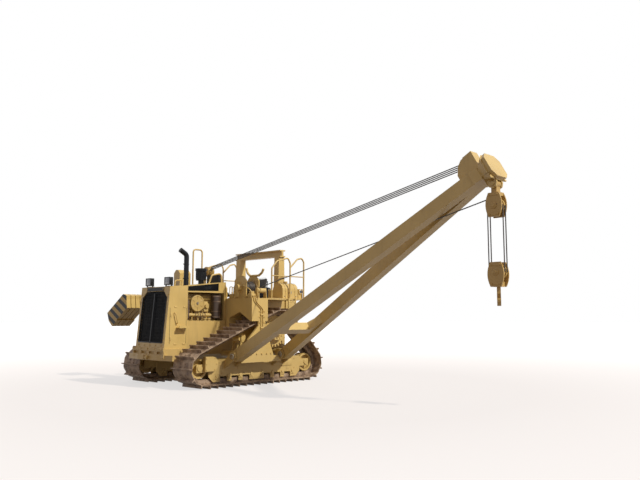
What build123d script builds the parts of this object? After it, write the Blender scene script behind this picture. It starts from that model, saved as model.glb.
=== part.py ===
"""Crawler pipelayer: tractor with raised drive sprockets, side boom on the left, counterweight on the right.

Tractor frame, in millimetres: +X forward, +Y to the boom side, +Z up, with zero on the ground midway
between the tracks. At the end everything moves so that the origin is the bottom centre of the whole.
"""
import os
from math import acos, atan2, cos, degrees, hypot, pi, radians, sin

from build123d import *

# Undercarriage
TRACK_GAUGE = 2286
SHOE_WIDTH = 762
SHOES = 44
FRONT_IDLER_X = 1687
REAR_IDLER_X = -1735
SPROCKET_X = -690
SPROCKET_Z = 1320
IDLER_PITCH_RADIUS = 314
SPROCKET_PITCH_RADIUS = 450
PIN_TO_SHOE = 60
PIN_TO_RAIL = 55
SHOE_PLATE = 18
GROUSER_HEIGHT = 72
GROUSER_BASE = 34
GROUSER_TIP = 20
LINK_GAP_HALF = 70
LINK_THICK = 50
ROLLER_FRAME_WIDTH = 340
RUNNING_CLEARANCE = 6
SEAT_GAP = 0.3
TRACK_OUTER_Y = (TRACK_GAUGE + SHOE_WIDTH) / 2
TRACK_INNER_Y = (TRACK_GAUGE - SHOE_WIDTH) / 2

# Body
BODY_TRACK_GAP = 202
BODY_HALF_WIDTH = TRACK_INNER_Y - BODY_TRACK_GAP
BELLY_Z = 620
CASE_TOP_Z = 1330
BODY_REAR_X = -1650
GUARD_TRACK_GAP = 123
GUARD_HALF_WIDTH = TRACK_INNER_Y - GUARD_TRACK_GAP
GUARD_FRONT_TOP = (2114, 2391)
GUARD_FRONT_BOTTOM = (2248, 908)
GUARD_REAR_X = 1610
GUARD_REAR_TOP_Z = 2430
PLATE = 16
HOOD_INSET = 60
HOOD_HALF_WIDTH = BODY_HALF_WIDTH - HOOD_INSET
HOOD_FRONT_X = 1600
HOOD_REAR_X = 420
HOOD_FRONT_Z = 2425
HOOD_REAR_Z = 2550
HOOD_EDGE_Z = 2270
DECK_TOP_Z = 2145
DECK_PLATE = 45
DECK_EDGE_INSET = 24
DECK_EDGE_Y = TRACK_OUTER_Y - DECK_EDGE_INSET
DECK_FRONT_X = -210
DECK_REAR_X = -1550
PORTAL_FRONT_X = 393
PORTAL_REAR_X = -125
PORTAL_OUT = 76
PORTAL_SIDE_Y = TRACK_OUTER_Y + PORTAL_OUT
PORTAL_TOP_Z = 2130
ROPS_X = -1184
ROPS_TOP_Z = 3467
ROPS_HALF_WIDTH = 967

# Boom
BOOM_LENGTH = 7340
BOOM_ANGLE = 29.5
BOOM_PIN_OUT = 99
BOOM_PIN_Y = TRACK_OUTER_Y + BOOM_PIN_OUT
BOOM_PIN_Z = 731
BOOM_FRONT_FOOT_X = 821
BOOM_REAR_FOOT_X = -702
HOIST_X = 60
LEG_WIDTH = 230
LEG_DEPTH = 260
LEG_EYE_RADIUS = 130
FOOT_PIN_RADIUS = 55
PIN_CLEARANCE = 0.1

# Hoist
UPPER_PIN_ALONG = 6
UPPER_PIN_BELOW = 300
UPPER_BLOCK_DROP = 610
LOWER_BLOCK_TOP_Z = 2654
LOWER_BLOCK_BOTTOM_Z = 2185
HOOK_TIP_Z = 1861
ROPE_RADIUS = 11
ROPE_BORE_RADIUS = 8
ROPE_CORE_RADIUS = 7.5

# Counterweight
WEIGHT_FRONT_X = 1600
SLABS = 4
SLAB_THICK = 122
SLAB_GAP = 20
WEIGHT_ANGLE = 31
WEIGHT_LENGTH = 1000
WEIGHT_DEPTH = 470
ARM_PIN_OUT = 520
ARM_PIN_Y = -BODY_HALF_WIDTH - ARM_PIN_OUT
ARM_PIN_Z = 1720
ARM_REACH = 1320
ARM_RISE = 480
WEIGHT_PIN = (ARM_PIN_Y - ARM_REACH, ARM_PIN_Z + ARM_RISE)
WEIGHT_TOP_OUT = 118
WEIGHT_TOP_RISE = 89
WEIGHT_INNER_TOP = (WEIGHT_PIN[0] - WEIGHT_TOP_OUT, WEIGHT_PIN[1] + WEIGHT_TOP_RISE)

OVERRUN = 5


def outline(points):
    """Flat closed shape through the points."""
    return make_face(Polyline(*points, close=True))


def along_x(points, start, end):
    """Prism of a (y, z) outline between two x places."""
    return extrude(Plane.YZ.offset(start) * outline(points), amount=end - start)


def along_y(points, start, end):
    """Prism of an (x, z) outline between two y places."""
    return extrude(Plane.XZ.offset(-end) * outline(points), amount=end - start)


def along_z(points, start, end):
    """Prism of an (x, y) outline between two z places."""
    return extrude(Plane.XY.offset(start) * outline(points), amount=end - start)


def block(x0, x1, y0, y1, z0, z1):
    """Box between two corners."""
    middle = Pos((x0 + x1) / 2, (y0 + y1) / 2, (z0 + z1) / 2)
    return middle * Box(abs(x1 - x0), abs(y1 - y0), abs(z1 - z0))


def rod(start, end, radius):
    """Round bar from one point to another."""
    line = Vector(*end) - Vector(*start)
    at_start = Plane(origin=start, z_dir=line)
    return at_start * Cylinder(radius, line.length, align=(Align.CENTER, Align.CENTER, Align.MIN))


def rail(points, bend, radius):
    """Round tube along straight runs with one bend radius at every corner."""
    path = FilletPolyline(*points, radius=bend)
    return sweep(Plane(origin=path @ 0, z_dir=path % 0) * Circle(radius), path=path)


def fuse(shapes):
    """All the shapes as one solid."""
    shapes = list(shapes)
    whole = shapes[0]
    for shape in shapes[1:]:
        whole = whole + shape
    return whole


def group(shapes):
    """Separate solids of one node."""
    return Compound(list(shapes))


def mirrored(shape):
    """The same shape on the other side of the tractor."""
    return mirror(shape, about=Plane.XZ)


# Track path: three pitch circles, counterclockwise seen with x to the right and z up
IDLER_Z = IDLER_PITCH_RADIUS + PIN_TO_SHOE + SHOE_PLATE + GROUSER_HEIGHT
WHEELS = (
    (FRONT_IDLER_X, IDLER_Z, IDLER_PITCH_RADIUS),
    (SPROCKET_X, SPROCKET_Z, SPROCKET_PITCH_RADIUS),
    (REAR_IDLER_X, IDLER_Z, IDLER_PITCH_RADIUS),
)


def pitch_line():
    """Closed line through the chain's pins: tangents and arcs round the three wheels."""
    normals = []
    for (x0, z0, r0), (x1, z1, r1) in zip(WHEELS, WHEELS[1:] + WHEELS[:1]):
        heading = atan2(z1 - z0, x1 - x0)
        normals.append(heading - acos((r0 - r1) / hypot(x1 - x0, z1 - z0)))
    edges = []
    for index, (x, z, radius) in enumerate(WHEELS):
        entry = normals[index - 1]
        leave = normals[index]
        turn = degrees(leave - entry) % 360
        edges.append(CenterArc((x, z), radius, degrees(entry), turn))
        x1, z1, radius1 = WHEELS[(index + 1) % len(WHEELS)]
        start = (x + radius * cos(leave), z + radius * sin(leave))
        end = (x1 + radius1 * cos(leave), z1 + radius1 * sin(leave))
        edges.append(Line(start, end))
    return Wire(edges)


def chain_pins():
    """Pin places (x, z), evenly spaced along the pitch line."""
    path = pitch_line()
    return [path.position_at(index / SHOES) for index in range(SHOES)]


def offset_loop(pins, distance):
    """Corners of the chain's polygon moved outwards by a distance."""
    corners = []
    for before, pin, after in zip(pins[-1:] + pins[:-1], pins, pins[1:] + pins[:1]):
        run_in = (pin - before).normalized()
        run_out = (after - pin).normalized()
        normal_in = Vector(run_in.Y, -run_in.X)
        normal_out = Vector(run_out.Y, -run_out.X)
        middle = (normal_in + normal_out).normalized()
        corner = pin + middle * (distance / middle.dot(normal_in))
        corners.append((corner.X, corner.Y))
    return corners


GROUSER_PLACE_SHARE = 0.2
PIN_TO_TIP = PIN_TO_SHOE + SHOE_PLATE + GROUSER_HEIGHT


def front_run_z(x, beyond_pins):
    """Height of the sloping front run at a distance outside the line of its pins."""
    (x0, z0, r0), (x1, z1, r1) = WHEELS[:2]
    angle = atan2(z1 - z0, x1 - x0) - acos((r0 - r1) / hypot(x1 - x0, z1 - z0))
    reach = x1 * cos(angle) + z1 * sin(angle) + r1 + beyond_pins
    return (reach - x * cos(angle)) / sin(angle)


def shoe_loop(pins):
    """Outer outline of all the shoes: a flat plate and one bar on each link."""
    face = PIN_TO_SHOE + SHOE_PLATE
    points = []
    for pin, after in zip(pins, pins[1:] + pins[:1]):
        run = after - pin
        pitch = run.length
        run = run.normalized()
        normal = Vector(run.Y, -run.X)
        bar = GROUSER_PLACE_SHARE * pitch
        corners = (
            (0, face),
            (bar, face),
            (bar + (GROUSER_BASE - GROUSER_TIP) / 2, face + GROUSER_HEIGHT),
            (bar + (GROUSER_BASE + GROUSER_TIP) / 2, face + GROUSER_HEIGHT),
            (bar + GROUSER_BASE, face),
            (pitch, face),
        )
        for along, out in corners:
            corner = pin + run * along + normal * out
            if points and (corner - points[-1]).length < RUNNING_CLEARANCE:
                continue
            points.append(corner)
    if (points[-1] - points[0]).length < RUNNING_CLEARANCE:
        points.pop()
    return [(point.X, point.Y) for point in points]


def track():
    """Left track: shoes across the full width on two rails of links."""
    pins = chain_pins()
    centre = TRACK_GAUGE / 2
    outer = along_y(shoe_loop(pins), centre - SHOE_WIDTH / 2, centre + SHOE_WIDTH / 2)
    seat = offset_loop(pins, PIN_TO_SHOE)
    shoes = outer - along_y(seat, centre - SHOE_WIDTH, centre + SHOE_WIDTH)
    web = offset_loop(pins, PIN_TO_SHOE + SHOE_PLATE / 3)
    tread = offset_loop(pins, -PIN_TO_RAIL)
    rails = []
    for side in (-1, 1):
        inner = centre + side * LINK_GAP_HALF
        low, high = sorted((inner, inner + side * LINK_THICK))
        rails.append(along_y(web, low, high) - along_y(tread, low - OVERRUN, high + OVERRUN))
    return fuse([shoes] + rails)


TREAD_GAP = 24
IDLER_TREAD_RADIUS = IDLER_PITCH_RADIUS - PIN_TO_RAIL - TREAD_GAP
IDLER_HUB_RADIUS = 95
ROLLER_AXLE_RADIUS = 40
IDLER_RIM_WIDTH = 2 * (LINK_GAP_HALF + LINK_THICK)
IDLER_WEB = 60


def idler(x):
    """Idler wheel: two treads under the links, a web and a hub."""
    centre = TRACK_GAUGE / 2
    rim = IDLER_TREAD_RADIUS
    wall = IDLER_HUB_RADIUS / 2
    half = IDLER_RIM_WIDTH / 2
    fork = half + RUNNING_CLEARANCE
    profile = (
        (0, -fork),
        (ROLLER_AXLE_RADIUS, -fork),
        (ROLLER_AXLE_RADIUS, -half),
        (IDLER_HUB_RADIUS, -half),
        (IDLER_HUB_RADIUS, -IDLER_WEB / 2),
        (rim - wall, -IDLER_WEB / 2),
        (rim - wall, -half),
        (rim, -half),
        (rim, half),
        (rim - wall, half),
        (rim - wall, IDLER_WEB / 2),
        (IDLER_HUB_RADIUS, IDLER_WEB / 2),
        (IDLER_HUB_RADIUS, half),
        (ROLLER_AXLE_RADIUS, half),
        (ROLLER_AXLE_RADIUS, fork),
        (0, fork),
    )
    turned = revolve(outline(profile), axis=Axis.Y)
    return Pos(x, centre, IDLER_Z) * turned


SPROCKET_TEETH = 26
SPROCKET_SIDE_GAP = 12
SPROCKET_WIDTH = 2 * (LINK_GAP_HALF - SPROCKET_SIDE_GAP)
TOOTH_ROOT_DEPTH = 75
TOOTH_TIP_DEPTH = 12
SPROCKET_ROOT_RADIUS = SPROCKET_PITCH_RADIUS - TOOTH_ROOT_DEPTH
SPROCKET_TIP_RADIUS = SPROCKET_PITCH_RADIUS - TOOTH_TIP_DEPTH
TOOTH_PLACE_SHARES = (
    (SPROCKET_ROOT_RADIUS, -0.3),
    (SPROCKET_TIP_RADIUS, -0.1),
    (SPROCKET_TIP_RADIUS, 0.1),
    (SPROCKET_ROOT_RADIUS, 0.3),
)
HUB_RADIUS = 250
HUB_CAP_RADIUS = 130
HUB_INSET = 134
HUB_OUTER_Y = TRACK_OUTER_Y - HUB_INSET


def sprocket():
    """Left drive sprocket on its final drive, which is bolted to the case."""
    centre = TRACK_GAUGE / 2
    step = 2 * pi / SPROCKET_TEETH
    points = []
    for tooth in range(SPROCKET_TEETH):
        for radius, place in TOOTH_PLACE_SHARES:
            angle = (tooth + place) * step
            points.append((radius * cos(angle), radius * sin(angle)))
    ring = along_y(points, centre - SPROCKET_WIDTH / 2, centre + SPROCKET_WIDTH / 2)
    drum = rod((0, BODY_HALF_WIDTH, 0), (0, HUB_OUTER_Y - HUB_CAP_RADIUS / 2, 0), HUB_RADIUS)
    cap = rod((0, HUB_OUTER_Y - HUB_CAP_RADIUS, 0), (0, HUB_OUTER_Y, 0), HUB_CAP_RADIUS)
    return Pos(SPROCKET_X, 0, SPROCKET_Z) * fuse([ring, drum, cap])


ROLLERS = 8
ROLLER_RADIUS = 118
ROLLER_FLANGE_RADIUS = 140
CHAIN_FLOOR_Z = IDLER_Z - IDLER_PITCH_RADIUS + PIN_TO_RAIL
ROLLER_Z = CHAIN_FLOOR_Z + ROLLER_RADIUS + SEAT_GAP
ROLLER_IDLER_GAP = 136
ROLLER_SPAN = (
    FRONT_IDLER_X - REAR_IDLER_X - 2 * (IDLER_TREAD_RADIUS + ROLLER_FLANGE_RADIUS + ROLLER_IDLER_GAP)
)
CARRIER_X = 420
CARRIER_RADIUS = 112


def roller_x(index):
    """Place of a bottom roller, counted from the rear."""
    return (FRONT_IDLER_X + REAR_IDLER_X) / 2 + ROLLER_SPAN * (index / (ROLLERS - 1) - 0.5)


def rollers():
    """Bottom rollers of the left track, each with its axle ends in the frame's side plates."""
    centre = TRACK_GAUGE / 2
    tread = ROLLER_FRAME_WIDTH / 2 - PLATE - RUNNING_CLEARANCE
    flange = LINK_GAP_HALF - RUNNING_CLEARANCE
    plates = ROLLER_FRAME_WIDTH / 2 - PLATE
    shapes = []
    for index in range(ROLLERS):
        x = roller_x(index)
        body = rod((x, centre - tread, ROLLER_Z), (x, centre + tread, ROLLER_Z), ROLLER_RADIUS)
        collar = rod((x, centre - flange, ROLLER_Z), (x, centre + flange, ROLLER_Z), ROLLER_FLANGE_RADIUS)
        axle = rod((x, centre - plates, ROLLER_Z), (x, centre + plates, ROLLER_Z), ROLLER_AXLE_RADIUS)
        shapes.append(fuse([body, collar, axle]))
    return shapes


def carrier_z():
    """Axle height of the carrier roller, which touches the rails of the sloping front run from below."""
    return front_run_z(CARRIER_X, -PIN_TO_RAIL - CARRIER_RADIUS - SEAT_GAP)


def carrier_roller():
    """Roller under the front run, on its axle between two uprights of the track frame."""
    centre = TRACK_GAUGE / 2
    half = IDLER_RIM_WIDTH / 2
    plates = half + RUNNING_CLEARANCE
    z = carrier_z()
    body = rod((CARRIER_X, centre - half, z), (CARRIER_X, centre + half, z), CARRIER_RADIUS)
    axle = rod((CARRIER_X, centre - plates, z), (CARRIER_X, centre + plates, z), ROLLER_AXLE_RADIUS)
    return body + axle


def running_wheels():
    """Both idlers, the bottom rollers and the carrier roller of the left track."""
    return group([idler(FRONT_IDLER_X), idler(REAR_IDLER_X), carrier_roller()] + rollers())


ROLLER_FRAME_TOP_Z = 640
ROLLER_FRAME_BOTTOM_Z = 130
ROLLER_WINDOW_TOP_Z = 255
ROLLER_TAB_HALF = 65
RECOIL_X = 1405
RECOIL_FRONT_X = 1600
RECOIL_Z = 565
RECOIL_RADIUS = 170
RECOIL_OUT = 90
CARRIER_FOOT_HALF = 150
FRAME_SLOPE = 130
TIE_BAR_X = (450, -1080)
TIE_BAR_RADIUS = 90
SADDLE_HALF = 130
SADDLE_TOP_Z = 830


def frame_side():
    """Side view of a track frame between its two idlers, as (x, z) points."""
    front = FRONT_IDLER_X - IDLER_TREAD_RADIUS - RUNNING_CLEARANCE
    rear = REAR_IDLER_X + IDLER_TREAD_RADIUS + RUNNING_CLEARANCE
    return (
        (rear, ROLLER_FRAME_BOTTOM_Z + FRAME_SLOPE),
        (rear + FRAME_SLOPE, ROLLER_FRAME_BOTTOM_Z),
        (front - FRAME_SLOPE, ROLLER_FRAME_BOTTOM_Z),
        (front, ROLLER_FRAME_BOTTOM_Z + FRAME_SLOPE),
        (front, ROLLER_FRAME_TOP_Z),
        (rear, ROLLER_FRAME_TOP_Z),
    )


def idler_forks():
    """Fork plates on both sides of each idler's hub."""
    centre = TRACK_GAUGE / 2
    reach = IDLER_TREAD_RADIUS + RUNNING_CLEARANCE + FRAME_SLOPE
    plates = []
    for x, toward in ((FRONT_IDLER_X, -1), (REAR_IDLER_X, 1)):
        x0, x1 = sorted((x + toward * reach, x - toward * IDLER_HUB_RADIUS))
        for face in (-1, 1):
            inner = centre + face * (IDLER_RIM_WIDTH / 2 + RUNNING_CLEARANCE)
            low, high = sorted((inner, inner + face * 2 * PLATE))
            plates.append(block(x0, x1, low, high, IDLER_Z - IDLER_HUB_RADIUS, IDLER_Z + IDLER_HUB_RADIUS))
    return plates


def carrier_bracket():
    """Two uprights on the track frame that hold the carrier roller's axle."""
    centre = TRACK_GAUGE / 2
    axle_top = carrier_z() + ROLLER_AXLE_RADIUS
    side = (
        (CARRIER_X - CARRIER_FOOT_HALF, ROLLER_FRAME_TOP_Z),
        (CARRIER_X + CARRIER_FOOT_HALF, ROLLER_FRAME_TOP_Z),
        (CARRIER_X + ROLLER_AXLE_RADIUS, axle_top),
        (CARRIER_X - ROLLER_AXLE_RADIUS, axle_top),
    )
    plates = []
    for face in (-1, 1):
        inner = centre + face * (IDLER_RIM_WIDTH / 2 + RUNNING_CLEARANCE)
        low, high = sorted((inner, inner + face * 2 * PLATE))
        plates.append(along_y(side, low, high))
    return plates


def recoil_cover():
    """Round-backed cover of the recoil spring on the frame's outer face, beside the front idler."""
    face = TRACK_GAUGE / 2 + ROLLER_FRAME_WIDTH / 2
    out = face + RECOIL_OUT
    back = rod((RECOIL_X, face - PLATE, RECOIL_Z), (RECOIL_X, out, RECOIL_Z), RECOIL_RADIUS)
    front = block(
        RECOIL_X, RECOIL_FRONT_X, face - PLATE / 2, out, RECOIL_Z - RECOIL_RADIUS, RECOIL_Z + RECOIL_RADIUS
    )
    return back + front


def roller_frame():
    """Left track frame: a long channel over the rollers, with forks, recoil cover and carrier bracket."""
    centre = TRACK_GAUGE / 2
    half = ROLLER_FRAME_WIDTH / 2
    side = frame_side()
    rear = side[0][0]
    front = side[3][0]
    tunnel = block(
        rear - FRAME_SLOPE, front + FRAME_SLOPE,
        centre - half + PLATE, centre + half - PLATE,
        0, ROLLER_Z + ROLLER_FLANGE_RADIUS + RUNNING_CLEARANCE,
    )
    frame = along_y(side, centre - half, centre + half) - tunnel
    for index in range(ROLLERS - 1):
        if index != ROLLERS // 2 - 1:
            frame = frame - block(
                roller_x(index) + ROLLER_TAB_HALF, roller_x(index + 1) - ROLLER_TAB_HALF,
                centre - half - OVERRUN, centre + half + OVERRUN, 0, ROLLER_WINDOW_TOP_Z,
            )
    saddles = [
        block(x - SADDLE_HALF, x + SADDLE_HALF, centre - half, centre, ROLLER_FRAME_TOP_Z, SADDLE_TOP_Z)
        for x in TIE_BAR_X
    ]
    return fuse([frame] + idler_forks() + saddles + carrier_bracket() + [recoil_cover()])


CASE_WALL = 60
ENGINE_RAIL_HEIGHT = 240
HATCH_X = -750
HATCH_HALF = 150


def main_frame():
    """Welded belly and main case between the tracks, hollow, with the engine's trough in front."""
    chamfer = BELLY_Z / 5
    section = (
        (-BODY_HALF_WIDTH, BELLY_Z + chamfer),
        (-BODY_HALF_WIDTH + chamfer, BELLY_Z),
        (BODY_HALF_WIDTH - chamfer, BELLY_Z),
        (BODY_HALF_WIDTH, BELLY_Z + chamfer),
        (BODY_HALF_WIDTH, CASE_TOP_Z),
        (-BODY_HALF_WIDTH, CASE_TOP_Z),
    )
    house_top = DECK_TOP_Z - DECK_PLATE
    case = along_x(section, BODY_REAR_X, GUARD_REAR_X)
    house = block(BODY_REAR_X, PORTAL_REAR_X, -BODY_HALF_WIDTH, BODY_HALF_WIDTH, CASE_TOP_Z, house_top)
    rails = []
    for side in (-1, 1):
        low, high = sorted((side * BODY_HALF_WIDTH, side * (BODY_HALF_WIDTH - 2 * PLATE)))
        rails.append(
            block(HOOD_REAR_X, GUARD_REAR_X, low, high, CASE_TOP_Z - OVERRUN, CASE_TOP_Z + ENGINE_RAIL_HEIGHT)
        )
    inner = BODY_HALF_WIDTH - chamfer
    floor = BELLY_Z + CASE_WALL
    trough = block(
        HOOD_REAR_X + CASE_WALL, GUARD_REAR_X - CASE_WALL, -inner, inner, floor, CASE_TOP_Z + OVERRUN
    )
    gear_room = block(
        BODY_REAR_X + CASE_WALL, HOOD_REAR_X - CASE_WALL, -inner, inner, floor, CASE_TOP_Z - CASE_WALL
    )
    house_room = block(
        BODY_REAR_X + CASE_WALL, PORTAL_REAR_X - CASE_WALL, -inner, inner, floor, house_top - CASE_WALL
    )
    hatch = block(
        HATCH_X - HATCH_HALF, HATCH_X + HATCH_HALF, -HATCH_HALF, HATCH_HALF,
        BELLY_Z - OVERRUN, floor + OVERRUN,
    )
    return fuse([case, house] + rails) - trough - gear_room - house_room - hatch


def track_ties():
    """Pivot shafts and the equaliser that carry the track frames beside the case."""
    inner = BODY_HALF_WIDTH
    outer = TRACK_GAUGE / 2 - ROLLER_FRAME_WIDTH / 2
    z = (ROLLER_FRAME_TOP_Z + SADDLE_TOP_Z) / 2
    bars = []
    for x in TIE_BAR_X:
        for side in (-1, 1):
            bars.append(rod((x, side * inner, z), (x, side * outer, z), TIE_BAR_RADIUS))
    return group(bars)


ENGINE = dict(x0=520, x1=1480, half_width=290, z1=2230)


def engine():
    """Engine as one plain block at its place, from the trough's floor to under the hood."""
    half = ENGINE["half_width"]
    return block(ENGINE["x0"], ENGINE["x1"], -half, half, BELLY_Z + CASE_WALL, ENGINE["z1"])


FILTER = dict(x=1180, z=2000, radius=195, out=140)
MUFFLER = dict(x=610, y=425, z0=1630, z1=2210, radius=120)
DUCT_RADIUS = 48
DUCT_BEND = 90
DUCT_PATH = ((610, 2150), (492, 1990), (492, 1740))
MANIFOLD = dict(x0=735, x1=1400, y=345, z=1710, radius=48)
PIPE_PLACES_X = (850, 980, 1110, 1290)
PIPE = dict(radius=20, z0=1590, z1=1840)
NECK_RADIUS = 42


def engine_dressing():
    """What shows on the open engine: air filter, muffler, bent duct, manifold and pipes, on both sides."""
    face = ENGINE["half_width"]
    x = FILTER["x"]
    filter_out = face + FILTER["out"]
    pieces = [rod((x, face, FILTER["z"]), (x, filter_out, FILTER["z"]), FILTER["radius"])]
    pieces.append(
        rod(
            (x, filter_out - OVERRUN, FILTER["z"]), (x, filter_out + OVERRUN, FILTER["z"]),
            FILTER["radius"] / 2,
        )
    )
    y = MANIFOLD["y"]
    z = MANIFOLD["z"]
    pieces.append(rod((MANIFOLD["x0"], y, z), (MANIFOLD["x1"], y, z), MANIFOLD["radius"]))
    pieces.append(rod((x, y, z), (x, y, FILTER["z"]), NECK_RADIUS))
    for pipe_x in PIPE_PLACES_X:
        pieces.append(rod((pipe_x, y, PIPE["z0"]), (pipe_x, y, PIPE["z1"]), PIPE["radius"]))
    y = MUFFLER["y"]
    pieces.append(rod((MUFFLER["x"], y, MUFFLER["z0"]), (MUFFLER["x"], y, MUFFLER["z1"]), MUFFLER["radius"]))
    pieces.append(rod((MUFFLER["x"], y, z), (MANIFOLD["x0"] + NECK_RADIUS, MANIFOLD["y"], z), NECK_RADIUS))
    pieces.append(rail([(px, y, pz) for px, pz in DUCT_PATH], DUCT_BEND, DUCT_RADIUS))
    left = fuse(pieces)
    return group([left, mirrored(left)])


WINDOW_SIDE = 95
WINDOW_BOTTOM_Z = 1050
WINDOW_TOP_Z = 2280
WINDOW_CORNER = 150
CORE_DEPTH = 150
CORE_THICK = 64
GUARD_WALL = 30
STEP = dict(x0=1650, x1=1930, out=150, z0=1395, z1=1450)


def guard_body():
    """The radiator guard's outer shape."""
    side = (
        (GUARD_REAR_X, GUARD_FRONT_BOTTOM[1]),
        GUARD_FRONT_BOTTOM,
        GUARD_FRONT_TOP,
        (GUARD_REAR_X, GUARD_REAR_TOP_Z),
    )
    return along_y(side, -GUARD_HALF_WIDTH, GUARD_HALF_WIDTH)


def radiator_guard():
    """Guard round the radiator with steps, open at the front for the grille, hollow behind the core."""
    half = GUARD_HALF_WIDTH - WINDOW_SIDE
    window = (
        (-half, WINDOW_BOTTOM_Z),
        (half, WINDOW_BOTTOM_Z),
        (half, WINDOW_TOP_Z - WINDOW_CORNER),
        (half - WINDOW_CORNER, WINDOW_TOP_Z),
        (-half + WINDOW_CORNER, WINDOW_TOP_Z),
        (-half, WINDOW_TOP_Z - WINDOW_CORNER),
    )
    core_face = GUARD_FRONT_TOP[0] - CORE_DEPTH
    pocket = along_x(window, core_face, GUARD_FRONT_BOTTOM[0] + OVERRUN)
    wall = GUARD_HALF_WIDTH - GUARD_WALL
    room = block(
        GUARD_REAR_X - OVERRUN, core_face - CORE_THICK, -wall, wall,
        GUARD_FRONT_BOTTOM[1] + GUARD_WALL, GUARD_FRONT_TOP[1] - GUARD_WALL,
    )
    shell = guard_body() - pocket - room
    for side in (-1, 1):
        root = side * (GUARD_HALF_WIDTH - PLATE)
        low, high = sorted((root, side * (GUARD_HALF_WIDTH + STEP["out"])))
        shell = shell + block(STEP["x0"], STEP["x1"], low, high, STEP["z0"], STEP["z0"] + PLATE)
        edge = GUARD_HALF_WIDTH + STEP["out"]
        lip_low, lip_high = sorted((side * (edge - PLATE), side * edge))
        shell = shell + block(STEP["x0"], STEP["x1"], lip_low, lip_high, STEP["z0"], STEP["z1"])
    return shell


GRILLE_BARS = 16
GRILLE_BAR = 14
NAME_PLATE = dict(half_width=380, z0=2290, z1=2375, thick=12)


def grille():
    """Radiator grille: level bars on three uprights in the guard's window, and the blank plate above."""
    half = GUARD_HALF_WIDTH - WINDOW_SIDE
    lean = (GUARD_FRONT_BOTTOM[0] - GUARD_FRONT_TOP[0]) / (GUARD_FRONT_TOP[1] - GUARD_FRONT_BOTTOM[1])
    pieces = []
    for index in range(GRILLE_BARS):
        z = WINDOW_BOTTOM_Z + (WINDOW_TOP_Z - WINDOW_BOTTOM_Z) * (index + 0.5) / GRILLE_BARS
        front = GUARD_FRONT_BOTTOM[0] - lean * (z - GUARD_FRONT_BOTTOM[1]) - 2 * GRILLE_BAR
        reach = half - max(0, z + GRILLE_BAR - (WINDOW_TOP_Z - WINDOW_CORNER))
        pieces.append(block(front - 3 * GRILLE_BAR, front, -reach, reach, z - GRILLE_BAR, z + GRILLE_BAR))
    back = GUARD_FRONT_TOP[0] - CORE_DEPTH
    for y in (-half / 2, 0, half / 2):
        low = WINDOW_BOTTOM_Z
        high = WINDOW_TOP_Z
        front_low = GUARD_FRONT_BOTTOM[0] - lean * (low - GUARD_FRONT_BOTTOM[1]) - 4 * GRILLE_BAR
        front_high = GUARD_FRONT_BOTTOM[0] - lean * (high - GUARD_FRONT_BOTTOM[1]) - 4 * GRILLE_BAR
        upright = ((back, low), (front_low, low), (front_high, high), (back, high))
        pieces.append(along_y(upright, y - GRILLE_BAR, y + GRILLE_BAR))
    places = []
    for z, out in (("z0", 0), ("z1", 0), ("z1", 1), ("z0", 1)):
        height = NAME_PLATE[z]
        back = GUARD_FRONT_BOTTOM[0] - lean * (height - GUARD_FRONT_BOTTOM[1])
        places.append((back + out * NAME_PLATE["thick"], height))
    plate = along_y(places, -NAME_PLATE["half_width"], NAME_PLATE["half_width"])
    return group([fuse(pieces), plate])


LOWER_GUARD_HALF = 700
LOWER_GUARD_TOP_Z = 880
LOWER_GUARD_BOTTOM_Z = 640
LOWER_GUARD_FRONT_X = 2290
LOWER_GUARD_SLOTS = 4
SLOT_WIDTH_SHARE = 0.35
SLOT_BOTTOM_Z = 790
SLOT_TOP_Z = 850
BAND_TOP_Z = 930
BAND_OUT = 12
SKIRT = dict(rear_x=2175, side_x=2225, front_x=2310, front_half=430, half_width=970, z0=640, z1=770)
PULL_EAR = dict(x=2380, half_gap=45, thick=30, z0=660, z1=750, pin=28)


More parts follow.
